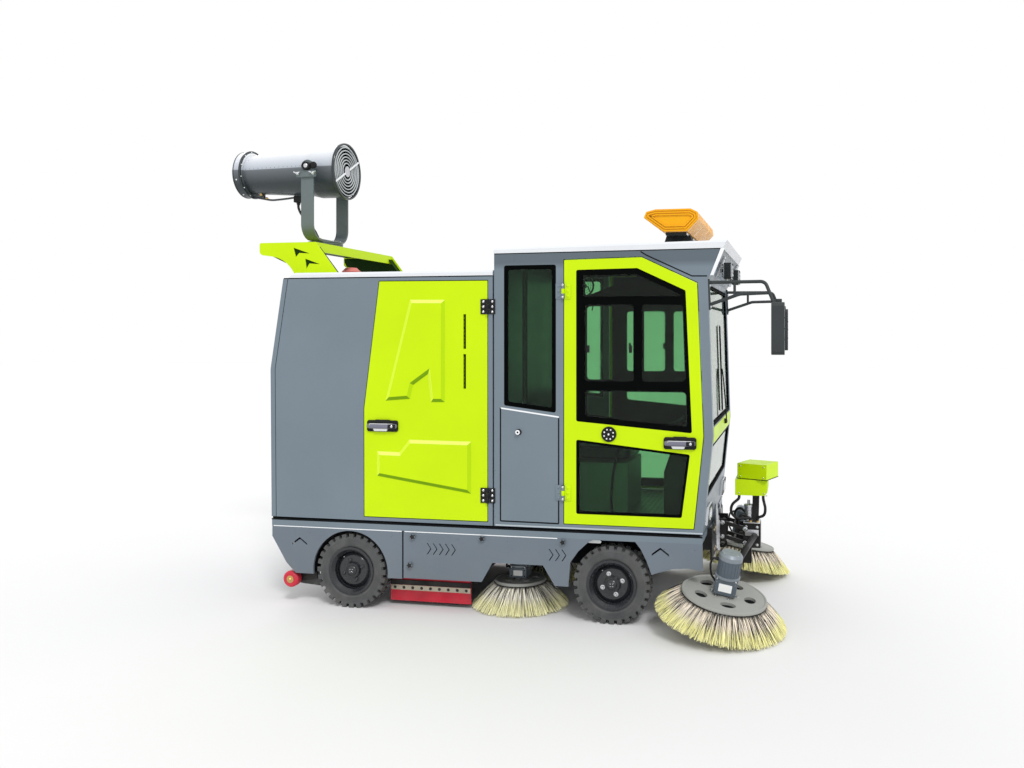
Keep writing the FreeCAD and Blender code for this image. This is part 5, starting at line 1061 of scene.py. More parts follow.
for side_name, side in SIDES:
    middle = side * HEADLAMP_Y
    front_strip(around(middle, HEADLAMP_Z, 91, 53, 16), around(middle, HEADLAMP_Z, 82, 44, 12), 15.0, 19.5)
    piece("headlamp_bezel_" + side_name, BLACK)
    bulbs = [on_front(front_line, middle + offset, HEADLAMP_Z, 16.4) for offset in (-40, 40)]
    front_strip(around(middle, HEADLAMP_Z, 81, 43, 11), around(middle, HEADLAMP_Z, 3, 2, 1), 16.1, 16.6)
    for spot in bulbs:
        wheel_ring([(30, 0), (35, 0), (36, 4), (33, 6), (30, 2)], spot, AXIS_X, 36)
    piece("headlamp_reflector_" + side_name, CHROME)
    for spot in bulbs:
        lathe([(29, 0), (28, 3.5), (22, 6.5), (12, 8.2), (3, 8.8)], spot, AXIS_X, 32)
    piece("headlamp_lens_" + side_name, LENS)

    middle = side * WORK_LAMP_Y
    block((640.8, middle - 61.2, 2067.8), (690.6, middle + 61.2, 2166.2), 9, 3)
    for z in range(2082, 2153, 14):
        block((630.5, middle - 50, z), (641, middle + 50, z + 4), 0.8)
    frame_strip(around(middle, 2117, 58, 46, 14), around(middle, 2117, 50, 38, 8), "yz", WORK_LAMP_FACE - 1.5,
                WORK_LAMP_FACE + 2.2)
    piece("work_lamp_housing_" + side_name, PLASTIC)
    cells = [at(WORK_LAMP_FACE - 0.2, middle - 36 + column * 24, 2093 + row * 24)
             for row in range(3) for column in range(4)]
    for spot in cells:
        wheel_ring([(7.5, 0), (10.5, 0), (10.5, 1.6), (7.5, 0.6)], spot, AXIS_X, 16)
    piece("work_lamp_cups_" + side_name, CHROME)
    for spot in cells:
        dome(spot, AXIS_X, 6.5, 2.4)
    piece("work_lamp_lenses_" + side_name, LENS)
    for z in (2090, 2192):
        bolt(on_front(visor_line, middle, z, 10.3), AXIS_X, 6, 4)
    piece("work_lamp_bolts_" + side_name, CHROME)

    middle = side * TAIL_LAMP_Y
    back = TAIL_LAMP_FACE
    frame_strip(around(middle, 525, 69.5, 17.5, 8), around(middle, 525, 64, 13, 5), "yz", back + 1,
                back - 2.4)
    for y in (middle - 24, middle + 22):
        block((back - 1.6, y - 1.2, 511), (back + 0.5, y + 1.2, 539))
    piece("tail_lamp_bezel_" + side_name, BLACK)
    for index in range(14):
        y = middle - side * (60 - index * 3.4)
        block((back - 1.2, y - 1.1, 513), (back + 0.4, y + 1.1, 537), 0.4)
    piece("tail_lamp_ribs_" + side_name, M["lamp_red"])
    block((back - 1.1, middle - 22, 512.5), (back + 0.4, middle + 19, 537.5), 0.8)
    piece("tail_lamp_amber_" + side_name, M["amber_lens"])


# Mirrors

MIRROR_Z = 1760

for side_name, side in SIDES:
    middle = side * 720.0
    prism(around(middle, MIRROR_Z, 74, 137, 20), "yz", 943.4, 945.4)
    piece("mirror_glass_" + side_name, MIRROR)
    frame_strip(around(middle, MIRROR_Z, 84, 147, 25), around(middle, MIRROR_Z, 75, 138, 19), "yz", 942.4,
                946.5)
    for z in (1700, 1760, 1820):
        frame_strip(round_box(middle - 60, z - 4, middle + 60, z + 4, 3, 3),
                    round_box(middle - 57, z - 1.5, middle + 57, z + 1.5, 1, 3), "yz", 1014.4, 1016.4)
    block((966, side * 695 - 14, 1876), (1000, side * 695 + 14, 1930), 4)
    piece("mirror_rim_" + side_name, M["mirror_shell"])
    for z in (1888, 2012):
        for y in (side * 655 - 8, side * 655 + 8):
            bolt(on_front(front_line, y, z, 9.5), AXIS_X, 6, 4)
    piece("mirror_foot_bolts_" + side_name, CHROME)


# Mist cannon

CANNON_X, CANNON_Z = -2230.0, 2885.0
BARREL_REAR, BARREL_FRONT = -2835.0, -2075.0
YOKE_OUT = 246.0
GUARD_STEEP = 30.0


def cannon_spot(x, radius, degrees):
    """A place about the barrel's axis; zero degrees is the left side."""
    return at(x, 0, CANNON_Z) + outwards(degrees) * (radius / 1000)


def outwards(degrees):
    a = math.radians(degrees)
    return Vector((0, math.cos(a), math.sin(a)))


def guard_bar(degrees, reach, half, low, high, edge):
    """A flat bar across the cannon's mouth."""
    along, across = outwards(degrees), outwards(degrees + 90)
    bevel(link_rings([[mouth + (along * r + across * w + AXIS_X * h) / 1000
                       for w, h in ((-half, low), (half, low), (half, high), (-half, high))]
                      for r in (-reach, reach)]), edge)


mouth = at(BARREL_FRONT, 0, CANNON_Z)
wheel_ring([(186, 0.3), (197.5, 0.3), (199.6, 3), (199.6, 13), (197, 17.3), (192, 17.9), (187, 17.0),
            (185, 13)],
           mouth, AXIS_X, 96)
piece("cannon_guard_frame", CANNON_DARK, "cannon_barrel", replaces=("cannon_grille",))
for radius in range(59, 170, 22):
    wheel_ring([(radius + 4.4 * math.cos(a), 12 + 4.4 * math.sin(a)) for a in turns(8)], mouth, AXIS_X, 80)
piece("cannon_guard_rings", GUARD_WIRE, "cannon_barrel")
# A black sleeve inside the mouth, behind the guard rings: painted shade in the barrel's throat.
wheel_ring([(172.8, -1), (173.7, -1), (173.7, -176), (172.8, -176)], mouth, AXIS_X, 64)
lathe([(172, -176), (172, -177)], mouth, AXIS_X, 64)
piece("cannon_throat_painted_shade", DARK, "cannon_barrel")
for degrees in (GUARD_STEEP, GUARD_STEEP + 90):
    guard_bar(degrees, 186, 6, 2.0, 6.5, 1.0)
piece("cannon_guard_stays", CANNON_DARK, "cannon_barrel")
guard_bar(GUARD_STEEP, 189, 7, 14.3, 17.8, 1.2)
for reach in (-180, 180):
    bolt(mouth + outwards(GUARD_STEEP) * reach / 1000 + AXIS_X * 0.0172, AXIS_X, 5, 0.8, washer=False)
piece("cannon_guard_bar", WHITE_TRIM_AND_HIGHLIGHT, "cannon_barrel")
lathe([(38, 13.5), (38, 16.4), (35.5, 17.9), (0.5, 17.9)], mouth, AXIS_X, 56)
piece("cannon_guard_blank_disc", SILVER, "cannon_barrel")

nozzle_end = at(BARREL_REAR - 28, 0, CANNON_Z)
wheel_ring([(155, 56), (171, 57), (172.5, 59), (172.5, 64), (171, 66), (152, 66), (152, 60)], nozzle_end,
           AXIS_X, 80)
wheel_ring([(165.0, 4), (167.5, 5), (167.5, 9), (165.0, 10)], nozzle_end, AXIS_X, 80)
wheel_ring([(165.0, 48), (167.0, 49), (167.0, 53), (165.0, 54)], nozzle_end, AXIS_X, 80)
piece("cannon_nozzle_flange", CANNON_DARK, "cannon_barrel")
for degrees in range(12, 360, 30):
    bolt(cannon_spot(BARREL_REAR + 38.2, 163, degrees), AXIS_X, 5, 4, washer=False)
for degrees in range(20, 360, 45):
    dome(cannon_spot(BARREL_REAR - 1, 164.6, degrees), outwards(degrees), 6, 4)
piece("cannon_flange_bolts", WHITE_TRIM_AND_HIGHLIGHT, "cannon_barrel")
for degrees in range(0, 360, 12):
    tilted = (outwards(degrees) * -0.45 - AXIS_X).normalized()
    lathe([(6.0, 0), (6.0, 5), (4.4, 7), (4.4, 10), (2.4, 12)], cannon_spot(BARREL_REAR - 15, 110.0, degrees),
          tilted, 10)
piece("cannon_nozzles", BRASS, "cannon_barrel")
for degrees in (-8, 172):
    for index in range(14):
        x = BARREL_REAR + 60 + index * 34
        radius = 135 + (182 - 135) * (x - BARREL_REAR) / (BARREL_FRONT - BARREL_REAR)
        dome(cannon_spot(x, radius - 0.4, degrees), outwards(degrees), 2.6, 1.4, 8)
piece("cannon_seam_rivets", CANNON_DARK, "cannon_barrel")

for side_name, side in SIDES:
    out = AXIS_Y * side
    knob = at(CANNON_X, side * (YOKE_OUT + 14.2), CANNON_Z)
    lathe([(30, -14), (30, -6), (27, -2), (24, 0)], knob, out, 36)
    knob += AXIS_Z * 0.002
    wheel_ring([(20, 0), (27, 0), (30, 5), (28, 12), (22, 14), (19, 10)], knob, out, 36)
    lathe([(22, 0), (24, 6), (22, 15), (14, 19), (5, 20)],
          knob + AXIS_X * 0.052 - out * 0.014 + AXIS_Z * 0.004, out, 28)
    piece("cannon_knobs_" + side_name, BLACK, "cannon_yoke")
    lathe([(18.5, 0), (18.5, 8), (15, 13), (8, 16), (2, 17)], knob - out * 0.001, out, 28)
    for x in (CANNON_X - 62, CANNON_X + 54):
        screw = at(x, side * (YOKE_OUT + 14), CANNON_Z - 50)
        lathe([(11, 0), (11, 3), (8.5, 4), (8.5, 13), (5, 16)], screw, out, 20)
        for way in WAYS:
            tube([screw + (out * reach + AXIS_X * way * wide + AXIS_Z * rise) / 1000
                  for reach, wide, rise in ((6, 7, 0), (12, 15, 6), (17, 24, 9))], [5, 4.5, 3.4], 8)
    piece("cannon_clamp_screws_" + side_name, CHROME, "cannon_yoke")

for a in turns(8, 0.2):
    bolt(at(CANNON_X + 105 * math.cos(a), 105 * math.sin(a), 2384), AXIS_Z, 7, 5)
piece("turntable_bolts", CHROME, "cannon_yoke")
for low in (2349, 2361, 2373):
    wheel_ring([(120, low), (121.6, low + 1.2), (121.6, low + 3.6), (120, low + 4.8)], at(CANNON_X, 0, 0),
               AXIS_Z, 64)
piece("turntable_grooves", CANNON_DARK, "cannon_yoke")

hose([(-2440.0, -4.0, 2668.0), (-2436.0, -10.0, 2636.0), (-2404.0, -30.0, 2590.0), (-2350.0, -60.0, 2546.0),
      (-2300.0, -74.0, 2500.0), (-2268.0, -66.0, 2448.0), (-2252.0, -50.0, 2400.0), (-2250.0, -46.0, 2384.5)],
     8.5, 8, 12)
cannon_hose = piece("cannon_hose", RUBBER, "cannon_yoke")
cannon_hose.parent = None
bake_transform(cannon_hose)
lathe([(13, 0), (13, 8), (10, 12), (10, 22), (12, 24), (12, 28)], at(-2250, -46, 2384), AXIS_Z, 16)
piece("cannon_hose_gland", BRASS, "cannon_yoke")
block((-2470, -22, 2676), (-2412, 22, 2722), 5, 3)
lathe([(15, 0), (15, 10), (12, 14), (12, 22)], at(-2440, -4, 2680), -AXIS_Z, 16)
piece("cannon_hose_block", BLACK, "cannon_barrel")
for x, z in ((-2725, 2722), (-2700, 2714)):
    lathe([(9.5, 0), (9.5, 7), (8, 8), (8, 14)], at(x, 0, z), AXIS_X, 6)
lathe([(6, 0), (6, 12), (9, 13), (9, 19)], at(-2725, -9, 2738), -AXIS_Y, 12)
piece("cannon_pipe_fittings", BRASS, "cannon_barrel")

BRACKET_SIDE = [(-2128.0, 2126.0), (-2195.0, 2192.0), (-2300.0, 2240.0), (-2362.0, 2252.0), (-2382.0, 2290.0),
                (-2382.0, 2316.0), (-1992.0, 2316.0), (-1848.0, 2126.0)]
ROOF_CAP_X = -2030
# Deep green skins on the bracket plates' inner faces and under its top: painted shade.
for side in WAYS:
    prism(BRACKET_SIDE, "xz", side * 553.2, side * 553.9)
block((-2372, -552, 2321.0), (-1993, 552, 2321.8))
piece("bracket_painted_shade_faces", BRACKET_PAINTED_SHADE)
# Flanges along the bracket's front edges, in the painted-shade green.
for side in WAYS:
    prism([(-1994, 2312), (-1850, 2128), (-1856, 2128), (-2000, 2312)], "xz", side * 552.5, side * 500)
piece("bracket_front_flanges_painted_shade", BRACKET_PAINTED_SHADE)
for a in turns(6):
    bolt(at(ROOF_CAP_X + 52 * math.cos(a), 52 * math.sin(a), 2121), AXIS_Z, 5, 3)
piece("roof_cap_bolts", CHROME)
for z in (2150, 2170):
    wheel_ring([(64, z), (65.5, z + 1), (65.5, z + 4), (64, z + 5)], at(ROOF_CAP_X, 0, 0), AXIS_Z)
piece("roof_cap_ribs", M["cap_red"])


# Wheels

WHEEL_Y, WHEEL_Z = 609.0, 233.0
LUGS = 28
VALVE_TURN = 2.2


def tyre_ribs(centre, out, phase):
    """Fine raised rings on the tyre's wall, and a pair of short ribs at each lug."""
    for radius in (169, 177, 187, 196):
        base = 56.0 - 3.0 * (radius - 164) / 37
        wheel_ring([(radius - 1.6, base - 1), (radius - 0.8, base + 1.5), (radius + 0.8, base + 1.5),
                    (radius + 1.6, base - 1)], centre, out, 96)
    for a in turns(LUGS, phase):
        for b in (a - 0.028, a + 0.028):
            u = Vector((math.sin(b), 0, -math.cos(b)))
            link_rings([[centre + (u * r + out * h + u.cross(out) * w) / 1000
                         for w, h in ((-1.3, 52.4), (1.3, 52.4), (1.3, 54.0), (-1.3, 54.0))]
                        for r in (215, 231)])


for axle, x in (("front", 0.0), ("rear", -1680.0)):
    for side_name, side in SIDES:
        wheel = "wheel_%s_%s" % (axle, side_name)
        centre = at(x, side * WHEEL_Y, WHEEL_Z)
        out = AXIS_Y * side
        tyre_ribs(centre, out, 2 * math.pi * 0.25 * (side > 0) / LUGS)
        piece("tyre_ribs_" + wheel, M["tyre"], wheel)
        for a in turns(4, 0.35):
            spot = centre + upright(a, 64) + out * 0.023
            if axle == "front":
                bolt(spot, out, 9.5, 11)
            else:
                lathe([(15, 0), (15, 2), (11, 3), (11, 10), (8, 13)], spot, out, 20)
        piece("nuts_" + wheel, CHROME if axle == "front" else M["rim_black"], wheel)
        wheel_ring([(21.5, 40.2), (30, 40.2), (31, 44), (27, 49), (18, 52.5), (0.6, 53), (0.6, 51),
                    (17, 50.5), (21.5, 47)], centre, out, 40)
        wheel_ring([(37, 40.1), (38, 42.1), (42, 42.1), (43, 40.1)], centre, out)
        wheel_ring([(118, 8), (121, 9.6), (124, 8), (121, 4)], centre, out, 64)
        piece("hub_cap_" + wheel, M["rim_black"], wheel)
        for a in turns(4, 0.8):
            dome(centre + upright(a, 11) + out * 0.0528, out, 3.2, 2.0, 10)
        spot = centre + upright(VALVE_TURN, 104) + out * 0.006
        tube([spot, spot + out * 0.014, spot + out * 0.026 - upright(VALVE_TURN, 4)], [4, 3.6, 3.2])
        piece("hub_marks_" + wheel, CHROME, wheel)


# Brush motors

def motor_dress(name, body, hub, axis, half, low, height, case_r, case_h, outer, plate_size):
    """Cap, collar, bolts, cable and a blank plate on a brush motor that stands on its axis."""
    turn = AXIS_Z.rotation_difference(axis)
    u, v = turn @ AXIS_X, turn @ AXIS_Y

    def spot(x, y, z):
        return hub + (u * x + v * y + axis * z) / 1000

    shelf = low + height
    top = shelf + case_h
    wheel_ring([(case_r + 0.3, -40), (case_r + 2.5, -38), (case_r + 2.5, -14), (case_r - 9, 1.6),
                (case_r - 20, 2.4), (4, 2.4), (4, 0.6), (case_r - 14, 0.6), (case_r + 0.3, -13)],
               spot(0, 0, top), axis, 56)
    wheel_ring([(case_r + 0.3, 4), (case_r + 7, 4), (case_r + 8, 8), (case_r + 8, 16), (case_r + 0.3, 18)],
               spot(0, 0, shelf), axis, 56)
    piece(name + "_cap", MOTOR_CAP, body)
    for a in turns(4, math.pi / 4):
        bolt(spot((case_r - 12) * math.cos(a), (case_r - 12) * math.sin(a), top + 1.6), axis, 4.5, 3,
             washer=False)
        x, y = math.copysign(half - 12, math.cos(a)), math.copysign(half - 12, math.sin(a))
        bolt(spot(x, y, shelf), axis, 6.5, 6)
        for step in (12, height - 12):
            bolt(spot(x, outer * half, low + step), v * outer, 4, 3, washer=False)
    piece(name + "_bolts", CHROME, body)
    for a in turns(20):
        out = heading(u, v, a)
        link_rings([[spot(0, 0, z) + (out * r + axis.cross(out) * t) / 1000
                     for r, t in ((case_r - 0.5, -1.3), (case_r + 2.2, -0.9), (case_r + 2.2, 0.9),
                                  (case_r - 0.5, 1.3))]
                    for z in (shelf + 24, top - 44)])
    piece(name + "_fins", MOTOR, body)
    width, tall = plate_size
    middle = low + height / 2
    corners = round_box(-width / 2, middle - tall / 2, width / 2, middle + tall / 2, 3, 3)
    link_rings([[spot(x, outer * (half + out), z) for x, z in corners] for out in (0.2, 1.3)])
    piece(name + "_blank_plate", BLANK, body)
    start = spot(-case_r - 1, 0, top - 52)
    lathe([(11, 0), (11, 10), (9, 14), (9, 20)], start, -u, 16)
    route = [start - u * 0.018, spot(-case_r - 36, 0, top - 60), spot(-case_r - 42, -outer * 4, top - 96),
             spot(-case_r - 30, -outer * 12, shelf - 4), spot(-half - 10, -outer * 20, shelf - 34),
             spot(-half - 2, -outer * 24, shelf - 46)]
    tube(curve_through(route, 6), 6)
    piece(name + "_cable", RUBBER, body)
    lathe([(26, 1.0), (26, low - 3), (34, low - 1)], hub, axis, 32)
    piece(name + "_shaft_boss", MOTOR, body)


for side_name, side in SIDES:
    motor_dress("front_motor_" + side_name, "brush_carriage", brush_hub(side), brush_axis(side), 65, 34, 84,
                66, 150, side, (76, 46))
    motor_dress("mid_motor_" + side_name, "chassis", mid_hub(side), AXIS_Z, 55, 32, 60, 52, 90, side,
                (60, 34))


# Lift links, carriage and covers

LINK_X, LINK_Z, LINK_L, LINK_HALF_GAP = 610, 470, 150, 45
LINK_TILT = math.radians(15)
COVER_X, COVER_Z, COVER_TURN = 832, 797, math.radians(-20)


def on_cover(x, y, z):
    """A place on the upper cover, which stands turned on the carriage."""
    return at(COVER_X + x * math.cos(COVER_TURN) - y * math.sin(COVER_TURN),
              x * math.sin(COVER_TURN) + y * math.cos(COVER_TURN), COVER_Z + z)


link_ends = ((LINK_X, LINK_Z, 90.2, 7, "link_pivot_nuts", "chassis"),
             (LINK_X + LINK_L * math.cos(LINK_TILT), LINK_Z - LINK_L * math.sin(LINK_TILT), 78.2, 6,
              "carriage_nuts", "brush_carriage"))
for x, z, y, height, name, body in link_ends:
    for side in WAYS:
        for offset in (-LINK_HALF_GAP, LINK_HALF_GAP):
            bolt(at(x, side * y, z + offset), AXIS_Y * side, 10, height)
        if body == "brush_carriage":
            for plate_x, plate_z in ((760, 372), (830, 372), (760, 486), (830, 486)):
                bolt(at(plate_x, side * 54, plate_z), AXIS_Y * side, 6, 5)
    piece(name, CHROME, body)
block((743, -62, 510.2), (849, 62, 517), 2)
for side in WAYS:
    block((752, side * 54.2, 430), (840, side * 60, 470), 2)
piece("carriage_plates", SILVER, "brush_carriage")
lathe([(30, 0), (32, 3), (32, 12), (27, 14), (27, 88), (31, 90), (31, 104), (22, 108), (9, 108), (9, 132)],
      at(774, -8, 520), AXIS_Z, 36)
for z in (546, 566, 586):
    wheel_ring([(27, z), (28.4, z + 1.5), (28.4, z + 4.5), (27, z + 6)], at(774, -8, 0), AXIS_Z, 36)
piece("lift_actuator", SILVER, "brush_carriage")
hose([(744, 40, 494), (716, 44, 497), (692, 48, 516), (680, 50, 548), (694, 51, 578), (722, 50, 584),
      (748, 46, 560), (758, 40, 536), (760, 36, 516)], 8, 7, 12)
piece("carriage_hose_loop", RUBBER, "brush_carriage")
for x, y in ((760, 36), (786, -40), (832, -40)):
    lathe([(12, 0), (12, 6), (10.5, 8), (10.5, 16)], at(x, y, 510), AXIS_Z, 6)
piece("carriage_hose_fittings", BRASS, "brush_carriage")
# A dark green skin on the cover's side: painted shade.
link_rings([[on_cover(x, y, z) for y, z in rectangle(-98.0, 2.0, 98.0, 98.0)] for x in (-100.8, -100.2)])
piece("upper_cover_painted_shade_face", COVER_PAINTED_SHADE, "brush_carriage")
for x in (-80, 80):
    for z in (16, 84):
        dome(on_cover(x, -100, z), Vector((math.sin(COVER_TURN), -math.cos(COVER_TURN), 0)), 5, 3)
for x in (716, 874):
    for side in WAYS:
        dome(at(x, side * 100, 712), AXIS_Y * side, 5, 3)
block((884, -92, 692.5), (896, -70, 696.8), 1)
piece("cover_screws", CHROME, "brush_carriage")
link_rings([[on_cover(x, y, z) for x, y in rectangle(-101.2, -101.2, 101.2, 101.2)] for z in (0.6, 5.0)])
piece("cover_seam", DARK, "brush_carriage")

for y, x, low, high in ((-120, 574, 356, 640), (-96, 582, 340, 560), (105, 576, 350, 600)):
    span = high - low
    lathe([(13, 0), (13, span - 30), (9, span - 26), (9, span)], at(x, y, low), AXIS_Z, 20)
for side in WAYS:
    block((563, side * 240, 300), (572.5, side * 130, 338), 2)
piece("nose_pipes", SILVER)
for y in (-250, -180, 180, 250):
    for z in (380, 500):
        bolt(at(572, y, z), AXIS_X, 8, 6)
piece("nose_plate_bolts", ZINC)


# Skirts, flaps and bumper rollers

FLAP_REAR, FLAP_FRONT = -1464, -930
ROLLER_X, ROLLER_Z, ROLLER_Y = -2103, 158, 607
ARCH_STEPS = 33

for side_name, side in SIDES:
    out = AXIS_Y * side
    block((FLAP_REAR, side * 543.2, 98), (FLAP_FRONT + 1, side * 546.6, 130), 1.2)
    piece("flap_clamp_strip_" + side_name, BEIGE)
    for x in range(-1436, FLAP_FRONT, 60):
        bolt(at(x, side * 546.6, 114), out, 6.5, 5)
    piece("flap_bolts_" + side_name, M["axle_steel"])
    block((FLAP_REAR, side * 535.4, 163), (FLAP_FRONT, side * 537.6, 300), 0.8)
    piece("red_sheet_" + side_name, M["flap_red"])
    spot = at(ROLLER_X, side * 663, ROLLER_Z)
    lathe([(24, 0), (24, 2.5), (20, 4)], spot, out, 32)
    bolt(spot + out * 0.003, out, 9, 6)
    piece("bumper_roller_bolt_" + side_name, BRASS, "bumper_roller_" + side_name)
    spot = at(ROLLER_X, side * ROLLER_Y, ROLLER_Z)
    for reach in (16, 40):
        wheel_ring([(52, reach - 3), (52.8, reach - 1), (52.8, reach + 1), (52, reach + 3)], spot, out)
    wheel_ring([(34, 55.8), (36, 57.2), (40, 57.2), (42, 55.8)], spot, out)
    piece("bumper_roller_rings_" + side_name, M["roller_red"], "bumper_roller_" + side_name)
    # A white line along each skirt's top edge: painted highlight on its bevel.
    inner, outer = skin(side, 0.1, 1.3)
    for x0, x1 in ((-1312, -330), (-2212, -1332)):
        block((x0, inner, 498.0), (x1, outer, 503.4))
    piece("skirt_painted_highlight_line_" + side_name, WHITE_TRIM_AND_HIGHLIGHT)
    prism([(-161, 490), (-94, 508), (-66, 484), (-72, 474), (-146, 474)], "xz", side * 634, side * 638, 0.8)
    piece("arch_tab_" + side_name, WHITE_TRIM_AND_HIGHLIGHT)
    prism([(-330, 290), (-120, 290), (-110, 380), (150, 380), (150, 543), (-330, 543)], "xz", side * 400,
          side * 402)
    piece("inner_wing_" + side_name, DARK)
    for x in (-1960, -1400, -960, -640, -340, 320, 500):
        dome(at(x, side * HALF_W, 470), out, 5.0, 2.6)
    piece("skirt_screws_" + side_name, SKIRT_GREY)
    # Black strips as painted shadow: one on the skirt's face beside its seam, one behind the seam, and one in
    # the sill's recess along the body.
    for x0, x1, z0, z1, near, far in ((-1328.5, -1319.5, 205.5, 503, 0.1, 0.6),
                                      (-1340, -1306, 206, 503, -18, -16.5),
                                      (-2226, 527, 545.3, 559.7, -13.8, -12.6)):
        inner, outer = skin(side, near, far)
        block((x0, inner, z0), (x1, outer, z1))
    piece("skirt_and_sill_painted_shadows_" + side_name, DARK)
    centre = at(-1680, 0, WHEEL_Z)
    inner, outer = HALF_W - 126, HALF_W - 17
    link_rings([[centre + upright(math.radians(-6 + 6 * step), r) + out * y / 1000
                 for r, y in ((257.5, outer), (259.5, outer), (259.5, inner), (257.5, inner))]
                for step in range(ARCH_STEPS)])
    piece("rear_arch_liner_" + side_name, DARK)
    prism([(-2118, 178), (-2070, 204), (-1942, 204), (-1932, 160), (-1896, 104), (-2078, 118)], "xz",
          side * 586, side * 591, 1.0)
    piece("tail_guard_" + side_name, RUBBER_GUARD)


# Roller brush

DRUM_X, DRUM_Z = -1200, 178


def roller_maker(centre, radius, tip, half):
    """Gives bristles round a drum, gathered in fourteen slanting rows."""
    def make(rng):
        a = rng.random() * 2 * math.pi
        y = (rng.random() * 2 - 1) * half
        row = round((a + y * 0.006) / (2 * math.pi) * 14) / 14 * 2 * math.pi - y * 0.006
        a += (row - a) * 0.75
        reach = tip - rng.random() * 7
        points = []
        for share in (0.0, 0.55, 1.0):
            r = radius + (reach - radius) * share
            b = a + 0.05 * share * rng.gauss(0, 0.5)
            points.append(centre + Vector((math.cos(b) * r, y + share * rng.gauss(0, 3),
                                           math.sin(b) * r)) / 1000)
        return points, 1.7
    return make


lathe([(22, 0), (22, 1060)], at(DRUM_X, -530, DRUM_Z), AXIS_Y, 24)
lathe([(74, 0), (78, 4), (78, 1016), (74, 1020)], at(DRUM_X, -510, DRUM_Z), AXIS_Y, 40)
piece("roller_core", MOTOR, "roller_brush")
strands("roller_bristles", "roller_brush", roller_maker(at(DRUM_X, 0, DRUM_Z), 76, 174.6, 508), 9000, 31,
        ROLLER_STRANDS, ("roller_brush",))


# Seat

CUSHION_STEPS = 26
WRAP_STEPS = 30


def cushion(name, centre, size, lean, channels, seed):
    """A crowned closed pad whose sides pull in, with a welt round its top and sewn channels across it."""
    bm = Hand.bm
    half = [s / 2 for s in size]
    crown = 26
    turn = Matrix.Rotation(math.radians(lean), 3, "Y")
    rng = random.Random(seed)
    ripples = [(rng.uniform(2, 5), rng.uniform(2, 5), rng.uniform(0, 6.28), rng.uniform(0.3, 0.9))
               for _ in range(5)]

    def place(x, y, z):
        """Shapes a place of the unit cube; z of one is the sitting side."""
        r = (abs(x) ** 6 + abs(y) ** 6 + abs(z) ** 6) ** (1 / 6)
        x, y, z = x / r, y / r, z / r
        pull = 1.0 - 0.035 * (1 - z * z) * (x * x + y * y) / 2
        waist = 1.0 - 0.03 * math.cos(math.pi * y / 2) * (abs(x) > 0.98)
        dx, dy = x * half[0] * pull * waist, y * half[1] * pull
        rise = (1 - x ** 4) * (1 - y ** 4)
        dz = z * (half[2] - crown * 0.5) + crown * 0.5 * rise * (z > 0)
        if z > 0.4:
            groove = sum(math.exp(-((x - line) / 0.035) ** 2) for line in channels)
            dz -= 6.0 * min(1.0, groove) * rise * z
            for fx, fy, phase, amount in ripples:
                dz += amount * 0.6 * math.sin(fx * x * 3 + fy * y * 2 + phase) * rise
        return centre + turn @ Vector((dx, dy, dz)) / 1000

    made = {}

    def vert(*spot):
        key = tuple(round(c, 5) for c in spot)
        if key not in made:
            made[key] = bm.verts.new(place(*spot))
        return made[key]

    grid = [-1 + 2 * i / CUSHION_STEPS for i in range(CUSHION_STEPS + 1)]
    for a0, a1 in zip(grid, grid[1:]):
        for b0, b1 in zip(grid, grid[1:]):
            square = rectangle(a0, b0, a1, b1)
            for level in WAYS:
                for face in ([(a, b, level) for a, b in square], [(a, level, b) for a, b in square],
                             [(level, a, b) for a, b in square]):
                    bm.faces.new([vert(*p) for p in face])
    piece(name, M["seat_cover"], replaces=("seat_cushions",), crease=60)
    ring = [(1, t) for t in grid] + [(-t, 1) for t in grid[1:]] + [(-1, -t) for t in grid[1:]]
    line = [place(x, y, 0.80) for x, y in ring + [(t, -1) for t in grid[1:-1]]]
    middle = sum(line, Vector()) / len(line)
    up = turn @ AXIS_Z
    rings = []
    for spot in line:
        away = (spot - middle).normalized()
        rings.append([spot + (away * (1.2 + 3.2 * math.cos(a)) + up * 3.2 * math.sin(a)) / 1000
                      for a in turns(8)])
    link_rings(rings, cyclic=True)
    piece(name + "_welt", SEAL)
    return place


cushion("seat_pad", at(-195, 0, 961), (462, 474, 118), 0, (-0.45, 0.0, 0.45), 5)
back_place = cushion("seat_back", at(-424, 0, 1296), (528, 464, 102), 80.5, (-0.5, 0.0, 0.5), 9)
rng = random.Random(3)
sheet = []
for row in range(WRAP_STEPS + 1):
    line = []
    for column in range(WRAP_STEPS + 1):
        x, y = -1 + 2 * row / WRAP_STEPS, -1 + 2 * column / WRAP_STEPS
        edge = max(abs(x), abs(y))
        z = 1.0 if edge < 0.86 else 1.0 - (edge - 0.86) * 7
        crumple = (Vector((1, 0, 0.15)) * (0.003 + rng.random() * 0.006)
                   + Vector((0, rng.random() - 0.5, rng.random() - 0.5)) * 0.004)
        line.append(Hand.bm.verts.new(back_place(x, y, z) + crumple))
    sheet.append(line)
for near, far in zip(sheet, sheet[1:]):
    for column in range(WRAP_STEPS):
        Hand.bm.faces.new((near[column], far[column], far[column + 1], near[column + 1]))
piece("seat_wrap", FILM)


# Cab interior

DIAL_WAY = Vector((-0.80, 0, 0.60))
DIALS = ((-62, 43), (62, 43), (0, 19))
COLUMN_LEAN = math.radians(32)
LEVER_Y, POST_X, POST_Y = -306, -560, 585


